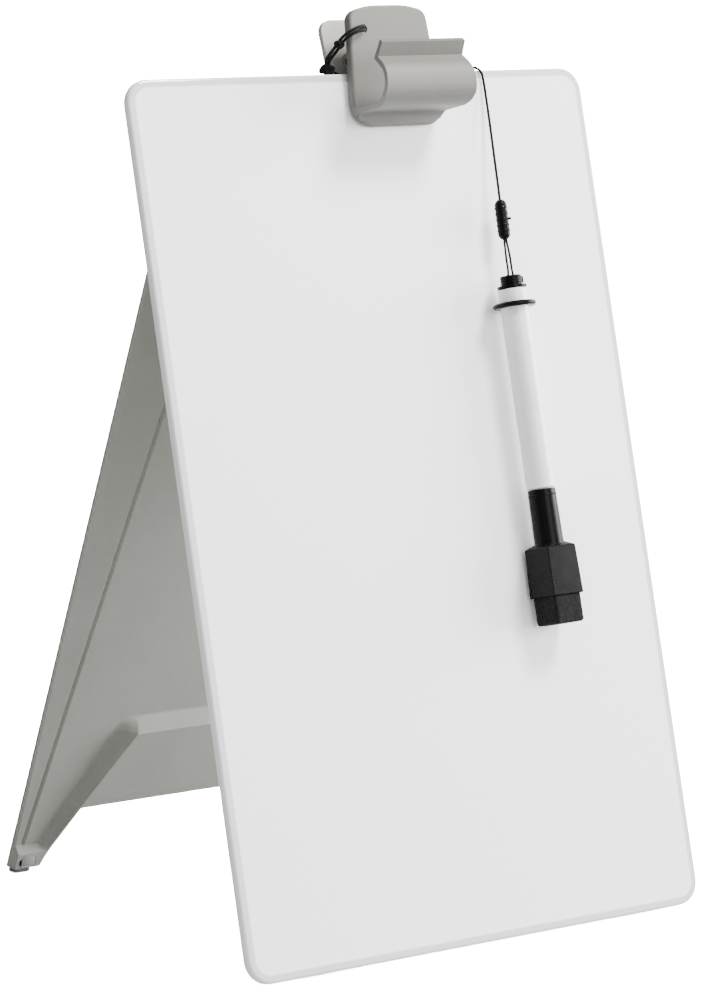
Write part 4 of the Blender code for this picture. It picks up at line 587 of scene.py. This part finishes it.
def make_knot(name, node, knot):
    """Overhand knot pulled tight round its axis: one cord that passes over and under itself three times."""
    place, axis, width, height, cord_size = knot
    reach = (width - cord_size) / 2
    climb = (height - cord_size) / 2
    turn = CLIP_AXES.to_3x3() @ Vector(axis).to_track_quat("Z", "Y").to_matrix()
    centre = CLIP_AXES @ Vector(place)
    points = []
    for step in range(KNOT_STEPS):
        t = 2 * math.pi * step / KNOT_STEPS
        lobe = Vector((
            (math.sin(t) + 2 * math.sin(2 * t)) * reach / 3, (math.cos(t) - 2 * math.cos(2 * t)) * reach / 3,
            -math.sin(3 * t) * climb))
        points.append(centre + turn @ lobe)
    made = braided_tube(name, points, cord_size, CORD_BRAID, closed=True)
    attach(made, "clip")
    if node:
        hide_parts(node)
    return made


def make_lanyard():
    """Lanyard from the stop knot behind the plate to the lock, and the loop that holds the marker."""
    for level, route in (("upper", UPPER_STRAND_ROUTE), ("lower", LOWER_STRAND_ROUTE)):
        whole = route + (into(route[-1], BIG_KNOT_PLACE, STRAND_SINK),)
        name, node = "lanyard_" + level + "_braid", "lanyard_" + level + "_strand"
        make_cord(name, node, whole, STRAND_DIAMETER, CORD_BRAID, "clip")[0]
    main_route = MAIN_CORD_ROUTE + (into(MAIN_CORD_ROUTE[-1], LOCK_LOW_PLACE, CORD_SINK),)
    main, points, length = make_cord("lanyard_braid", "lanyard_cord", main_route, CORD_DIAMETER, CORD_BRAID, "clip")
    first, last = (into(PEN_LOOP_ROUTE[end], LOCK_TOP_PLACE, LOOP_SINK) for end in (0, -1))
    loop, loop_points, loop_length = make_cord(
        "pen_loop_braid", "pen_loop", (first,) + PEN_LOOP_ROUTE + (last,), PEN_LOOP_DIAMETER, LOOP_BRAID, "marker")
    knots = [
        make_knot("lanyard_small_wrap", "lanyard_small_knot", SMALL_KNOT),
        make_knot("lanyard_big_wrap", "lanyard_big_knot", BIG_KNOT),
        make_knot("lanyard_big_core", None, BIG_KNOT_CORE),
        make_knot("lanyard_stop_wrap", "lanyard_stop_knot", STOP_KNOT),
    ]
    lock = refine("cord_lock", "cord_lock_moulding", "cord_end", "black_moulded_plastic", LOCK_EDGE)


def start_fresh():
    """Leaves nothing selected, so that the next operator acts on its own piece only."""
    if bpy.context.mode != "OBJECT":
        bpy.ops.object.mode_set(mode="OBJECT")
    bpy.ops.object.select_all(action="DESELECT")


def take_up(pieces):
    """Selects only these pieces, with the first as the active one."""
    start_fresh()
    for piece in pieces:
        piece.select_set(True)
    bpy.context.view_layer.objects.active = pieces[0]


def axes_place(axes):
    """Location and rotation that put a new primitive on a set of axes."""
    return {"location": axes.to_translation(), "rotation": axes.to_euler()}


def pick(kind, test):
    """Selects the items of the piece in edit mode whose middle and direction pass a test."""
    bpy.ops.mesh.select_mode(type=kind)
    bpy.ops.mesh.select_all(action="DESELECT")
    shape = bmesh.from_edit_mesh(bpy.context.edit_object.data)
    if kind == "FACE":
        chosen = [face for face in shape.faces if test(face.calc_center_median(), face.normal)]
    elif kind == "EDGE":
        chosen = [edge for edge in shape.edges if test(
            (edge.verts[0].co + edge.verts[1].co) / 2, (edge.verts[1].co - edge.verts[0].co).normalized())]
    else:
        chosen = [vert for vert in shape.verts if test(vert.co, vert.normal)]
    for item in chosen:
        item.select_set(True)
    shape.select_flush_mode()
    bmesh.update_edit_mesh(bpy.context.edit_object.data)


def close_normals():
    bpy.ops.mesh.select_all(action="SELECT")
    bpy.ops.mesh.normals_make_consistent(inside=False)


def apply_modifier(kind, **settings):
    made = bpy.context.active_object.modifiers.new(kind.lower(), kind)
    for key, value in settings.items():
        setattr(made, key, value)
    bpy.ops.object.modifier_apply(modifier=made.name)


def settle(name, look, body, nodes_replaced=(), degrees=35):
    """Puts a finished piece's place into its mesh, names it, dresses it and hands it to the body that carries it."""
    made = bpy.context.active_object
    bpy.ops.object.transform_apply(location=True, rotation=True, scale=True)
    bpy.ops.object.shade_smooth_by_angle(angle=math.radians(degrees))
    made.name = made.data.name = name
    made.data.materials.clear()
    made.data.materials.append(look)
    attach(made, body)
    for node in nodes_replaced:
        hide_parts(node)
    return made


# CAD solid, piece that stands for it, body, finish, and how far its sharp edges are rounded off
REFINED_PIECES = (
    ("clip_front_grip", "front_grip_moulding", "clip", "warm_grey_moulded_plastic", 0.25 * MM),
    ("clip_rear_lever", "rear_lever_moulding", "lever", "warm_grey_moulded_plastic", 0.25 * MM),
    ("support_leg", "leg_moulding", "leg", "grey_moulded_plastic", 0.3 * MM),
    ("hinge_bracket", "hinge_bracket_moulding", "board", "grey_moulded_plastic", 0.25 * MM),
    ("marker_end_plug", "end_plug_moulding", "marker", "black_moulded_plastic", 0.12 * MM),
    ("marker_barrel", "barrel_tube", "marker", "white_moulded_plastic", 0.12 * MM),
    ("marker_ring", "barrel_ring", "marker", "black_moulded_plastic", 0.0),
    ("marker_cap", "cap_moulding", "cap", "black_moulded_plastic", 0.2 * MM),
    ("leg_foot_pad_left", "left_leg_pad", "leg", "dark_grey_rubber", 0.15 * MM),
    ("leg_foot_pad_right", "right_leg_pad", "leg", "dark_grey_rubber", 0.15 * MM),
    ("board_foot_left", "left_board_foot", "board", "clear_rubber", 0.15 * MM),
    ("board_foot_right", "right_board_foot", "board", "clear_rubber", 0.15 * MM),
    ("clip_front_pad", "front_jaw_pad", "clip", "dark_grey_rubber", 0.1 * MM),
    ("clip_rear_pad", "rear_jaw_pad", "lever", "dark_grey_rubber", 0.1 * MM),
    ("clip_pivot_pin", "pivot_rod", "clip", "bright_steel", 0.1 * MM),
    ("hinge_pin", "hinge_rod", "board", "bright_steel", 0.0),
    ("pin_cap_left", "left_pin_cap", "board", "black_moulded_plastic", 0.1 * MM),
    ("pin_cap_right", "right_pin_cap", "board", "black_moulded_plastic", 0.1 * MM),
    ("marker_tip", "tip_moulding", "marker", "black_moulded_plastic", 0.1 * MM),
    ("marker_nib", "nib_rod", "marker", "ink_fibre", 0.1 * MM),
)


def refine(node, name, body, finish, edge):
    """Copy of a CAD solid with its facets smoothed and its sharp edges broken, which stands for it."""
    made = bpy.data.objects.new(name, nodes[node].data.copy())
    bpy.context.collection.objects.link(made)
    take_up([made])
    bpy.ops.object.mode_set(mode="EDIT")
    bpy.ops.mesh.select_all(action="SELECT")
    bpy.ops.mesh.remove_doubles(threshold=MERGE_DISTANCE)
    bpy.ops.mesh.dissolve_limited(angle_limit=FLAT_ANGLE)
    bpy.ops.mesh.normals_make_consistent(inside=False)
    bpy.ops.object.mode_set(mode="OBJECT")
    if edge:
        apply_modifier("BEVEL", width=edge, segments=2, limit_method="ANGLE", angle_limit=BEVEL_ANGLE)
    settle(name, NODE_LOOKS[node], body, [node], degrees=COPY_SMOOTH_DEGREES)
    apply_modifier("WEIGHTED_NORMAL", keep_sharp=True)
    return made


def make_eraser():
    """Felt block with the stub that holds it in the cap's end: edges worn round and a surface of matted fibres."""
    start_fresh()
    middle = Matrix.Translation((0, 0, -(HOLDER_LOW + FELT_LENGTH / 2)))
    axes = MARKER_AXES @ Matrix.Rotation(HOLDER_TURN, 4, "Z") @ middle
    bpy.ops.mesh.primitive_cube_add(size=1, **axes_place(axes))
    bpy.context.active_object.scale = (FELT_WIDTH, FELT_WIDTH, FELT_LENGTH)
    bpy.ops.object.transform_apply(location=False, rotation=False, scale=True)
    bpy.ops.object.mode_set(mode="EDIT")
    pick("EDGE", lambda co, way: co.z < FELT_LENGTH * 0.4)
    bpy.ops.mesh.bevel(offset=FELT_ROUND, segments=3, affect="EDGES")
    pick("FACE", lambda co, normal: normal.z > 0.9)
    bpy.ops.mesh.inset(thickness=(FELT_WIDTH - STUB_WIDTH) / 2, depth=0)
    bpy.ops.mesh.inset(thickness=STUB_TAPER, depth=STUB_LENGTH)
    bpy.ops.object.mode_set(mode="OBJECT")
    apply_modifier("REMESH", mode="VOXEL", voxel_size=FELT_CELL)
    for texture_name, grain_size, strength in FELT_RELIEF:
        grain = bpy.data.textures.new(texture_name, "CLOUDS")
        grain.noise_scale = grain_size
        grain.noise_depth = 2
        apply_modifier("DISPLACE", texture=grain, texture_coords="LOCAL", strength=strength, mid_level=FELT_MIDDLE)
    settle("eraser_felt_block", FELT, "cap", ["marker_eraser"], degrees=FELT_SMOOTH_DEGREES)


def bead_ring(drop, radius, bead, stretch=1.0):
    """Half-round bead round the marker, a given drop down its axis, flat on the side that lies on the marker."""
    start_fresh()
    axes = MARKER_AXES @ Matrix.Translation((0, 0, -drop))
    bpy.ops.mesh.primitive_torus_add(
        major_radius=radius, minor_radius=bead, major_segments=48, minor_segments=12, **axes_place(axes))
    bpy.ops.object.mode_set(mode="EDIT")
    pick("VERT", lambda co, normal: math.hypot(co.x, co.y) < radius - bead / 3)
    bpy.ops.mesh.delete(type="VERT")
    bpy.ops.mesh.select_mode(type="EDGE")
    bpy.ops.mesh.select_all(action="DESELECT")
    bpy.ops.mesh.select_non_manifold()
    bpy.ops.mesh.bridge_edge_loops()
    close_normals()
    bpy.ops.object.mode_set(mode="OBJECT")
    bpy.context.active_object.scale = (1, 1, stretch)
    bpy.ops.object.transform_apply(location=False, rotation=False, scale=True)
    return bpy.context.active_object


def make_marker_beads():
    """Grip rings on the end plug's knob, and the snap bead near the open end of the cap's sleeve."""
    rings = [bead_ring(KNOB_BEAD_TOP + step * KNOB_BEAD_PITCH, KNOB_RADIUS, KNOB_BEAD) for step in range(KNOB_BEADS)]
    take_up(rings)
    bpy.ops.object.join()
    settle("knob_grip_rings", BLACK_PLASTIC, "marker")
    bead_ring(CAP_TOP + SNAP_BEAD_DROP, SLEEVE_RADIUS, SNAP_BEAD, SNAP_BEAD_STRETCH)
    settle("cap_snap_bead", BLACK_PLASTIC, "cap")


def place_on_foot(across, front, rise):
    """Brings the active piece, shaped in millimetres, to its place on the leg's foot."""
    place = Matrix.Translation((across, front, rise - LEG_LENGTH))
    bpy.context.active_object.matrix_world = LEG_AXES @ place @ Matrix.Scale(MM, 4)


def make_foot_cover(side, hand):
    """Moulded cover let into the foot's front, arched at the top with a groove round it, and the slot beside it."""
    across = side * (LEG_HALF_AT_FLOOR - COVER_INSET)
    front = LEG_SETBACK - FOOT_STEP - COVER_PROUD + COVER_DEPTH / 2
    start_fresh()
    bpy.ops.mesh.primitive_cube_add(size=1)
    bpy.context.active_object.scale = Vector((COVER_WIDTH, COVER_DEPTH, COVER_HEIGHT)) / MM
    bpy.ops.object.transform_apply(location=False, rotation=False, scale=True)
    bpy.ops.object.mode_set(mode="EDIT")
    pick("EDGE", lambda co, way: abs(way.y) > 0.9 and co.z > 0)
    bpy.ops.mesh.bevel(offset=COVER_ARCH, segments=8, affect="EDGES")
    pick("FACE", lambda co, normal: normal.y < -0.9)
    bpy.ops.mesh.inset(thickness=COVER_FRAME, depth=0)
    for depth in (-GROOVE_DEPTH, GROOVE_DEPTH):
        bpy.ops.mesh.inset(thickness=GROOVE_WIDTH, depth=depth)
    bpy.ops.object.mode_set(mode="OBJECT")
    apply_modifier("BEVEL", width=COVER_EDGE, segments=2, limit_method="ANGLE", angle_limit=BEVEL_ANGLE)
    place_on_foot(across, front, COVER_RISE)
    settle("foot_cover_" + hand, LEG_PLASTIC, "leg")

    start_fresh()
    bpy.ops.mesh.primitive_cylinder_add(vertices=16, radius=SLOT_RADIUS, depth=SLOT_DEPTH)
    bpy.ops.object.mode_set(mode="EDIT")
    bpy.ops.transform.rotate(value=math.pi / 2, orient_axis="X", center_override=(0, 0, 0))
    pick("VERT", lambda co, normal: co.z > 0)
    bpy.ops.transform.translate(value=(0, 0, SLOT_STRETCH))
    pick("FACE", lambda co, normal: abs(normal.y) > 0.9)
    bpy.ops.mesh.inset(thickness=SLOT_HOLLOW, depth=-SLOT_HOLLOW)
    bpy.ops.object.mode_set(mode="OBJECT")
    place_on_foot(
        across + side * COVER_WIDTH * SLOT_ASIDE_SHARE, front - COVER_DEPTH / 2 + SLOT_SINK,
        COVER_RISE - COVER_HEIGHT * SLOT_DROP_SHARE)
    settle("foot_slot_" + hand, BLACK_PLASTIC, "leg")


def spring_tube(start, end, wire, front_arm=None, back_arm=None):
    """Part of the torsion spring about the pivot, wound from one angle to another, with its straight arms."""
    start_fresh()
    bpy.ops.mesh.primitive_circle_add(
        vertices=TUBE_SIDES, radius=wire / 2, rotation=(math.pi + start, 0, 0),
        location=(0, -COIL_RADIUS * math.cos(start), -COIL_RADIUS * math.sin(start)))
    bpy.ops.object.transform_apply(location=True, rotation=True, scale=True)
    steps = max(2, round((end - start) / COIL_STEP))
    travel = COIL_PITCH * (end - start) / (2 * math.pi)
    apply_modifier("SCREW", axis="X", angle=end - start, screw_offset=travel, steps=steps, render_steps=steps,
                   use_normal_calculate=True)
    bpy.ops.object.mode_set(mode="EDIT")
    for arm, reach, angle in ((front_arm, 0.0, start), (back_arm, travel, end)):
        tangent = Vector((0, math.sin(angle), -math.cos(angle)))
        middle = Vector((reach, -COIL_RADIUS * math.cos(angle), -COIL_RADIUS * math.sin(angle)))
        pick("VERT", lambda co, normal: (
            (co - middle).length < wire * 0.6 and abs((co - middle).dot(tangent)) < wire / 12))
        if arm:
            bpy.ops.mesh.select_mode(type="EDGE")
            bpy.ops.mesh.extrude_region_move(TRANSFORM_OT_translate={"value": arm})
        bpy.ops.mesh.edge_face_add()
    close_normals()
    bpy.ops.object.mode_set(mode="OBJECT")
    back = COIL_PITCH * (start - COIL_START) / (2 * math.pi) - COIL_LENGTH / 2
    bpy.context.active_object.matrix_world = CLIP_AXES @ Matrix.Translation((back, PIVOT_DEPTH, PIVOT_RISE))


def make_spring():
    """Torsion spring: the coil and its front arm stay with the plate, the back arm turns with the lever."""
    spring_tube(COIL_START, COIL_END, SPRING_WIRE, front_arm=FRONT_ARM)
    settle("torsion_spring_coil", STEEL, "clip", ["clip_spring"])
    spring_tube(COIL_END - BACK_ARM_WRAP, COIL_END, SPRING_WIRE * BACK_WIRE_SHARE, back_arm=BACK_ARM)
    settle("torsion_spring_back_arm", STEEL, "lever")


def studio_world():
    """Soft surroundings that are brighter to the right, and white behind the object."""
    world = bpy.data.worlds.new("studio_world")
    bpy.context.scene.world = world
    world.use_nodes = True
    tree = world.node_tree
    way = add(tree, "ShaderNodeSeparateXYZ", {"Vector": add(tree, "ShaderNodeTexCoord").outputs["Generated"]})
    side = add(tree, "ShaderNodeMapRange", {
        "Value": way.outputs["X"], "From Min": WORLD_CHANGE[0], "From Max": WORLD_CHANGE[1],
        "To Min": WORLD_LEFT, "To Max": WORLD_RIGHT})
    seen = add(tree, "ShaderNodeLightPath").outputs["Is Camera Ray"]
    strength = add(tree, "ShaderNodeMix", {0: seen, 2: side.outputs["Result"], 3: BACKDROP_STRENGTH})
    background = tree.nodes["Background"]
    background.inputs["Color"].default_value = (1, 1, 1, 1)
    tree.links.new(strength.outputs[0], background.inputs["Strength"])


def make_stage():
    """Plain pale floor that the camera sees bleached to white, the surroundings and the softboxes."""
    bpy.ops.mesh.primitive_plane_add(size=FLOOR_SIZE, location=(0, 0, 0))
    floor = bpy.context.active_object
    floor.name = "studio_floor"
    made = bpy.data.materials.new("bleached_white_paper")
    made.use_nodes = True
    tree = made.node_tree
    seen = add(tree, "ShaderNodeLightPath").outputs["Is Camera Ray"]
    lit, bleached = ((level,) * 3 + (1,) for level in (FLOOR_TONE, FLOOR_GAIN))
    tone = add(tree, "ShaderNodeMix", {0: seen, 6: lit, 7: bleached}, data_type="RGBA")
    paper = add(tree, "ShaderNodeBsdfDiffuse", {"Color": tone.outputs[2]})
    tree.links.new(paper.outputs[0], tree.nodes["Material Output"].inputs["Surface"])
    floor.data.materials.append(made)
    studio_world()
    for softbox in SOFTBOXES:
        area_light(*softbox)


dress_nodes()
make_lanyard()
for row in REFINED_PIECES:
    refine(*row)
make_spring()
make_eraser()
make_marker_beads()
for foot_side, foot_hand in ((-1, "left"), (1, "right")):
    make_foot_cover(foot_side, foot_hand)
make_stage()
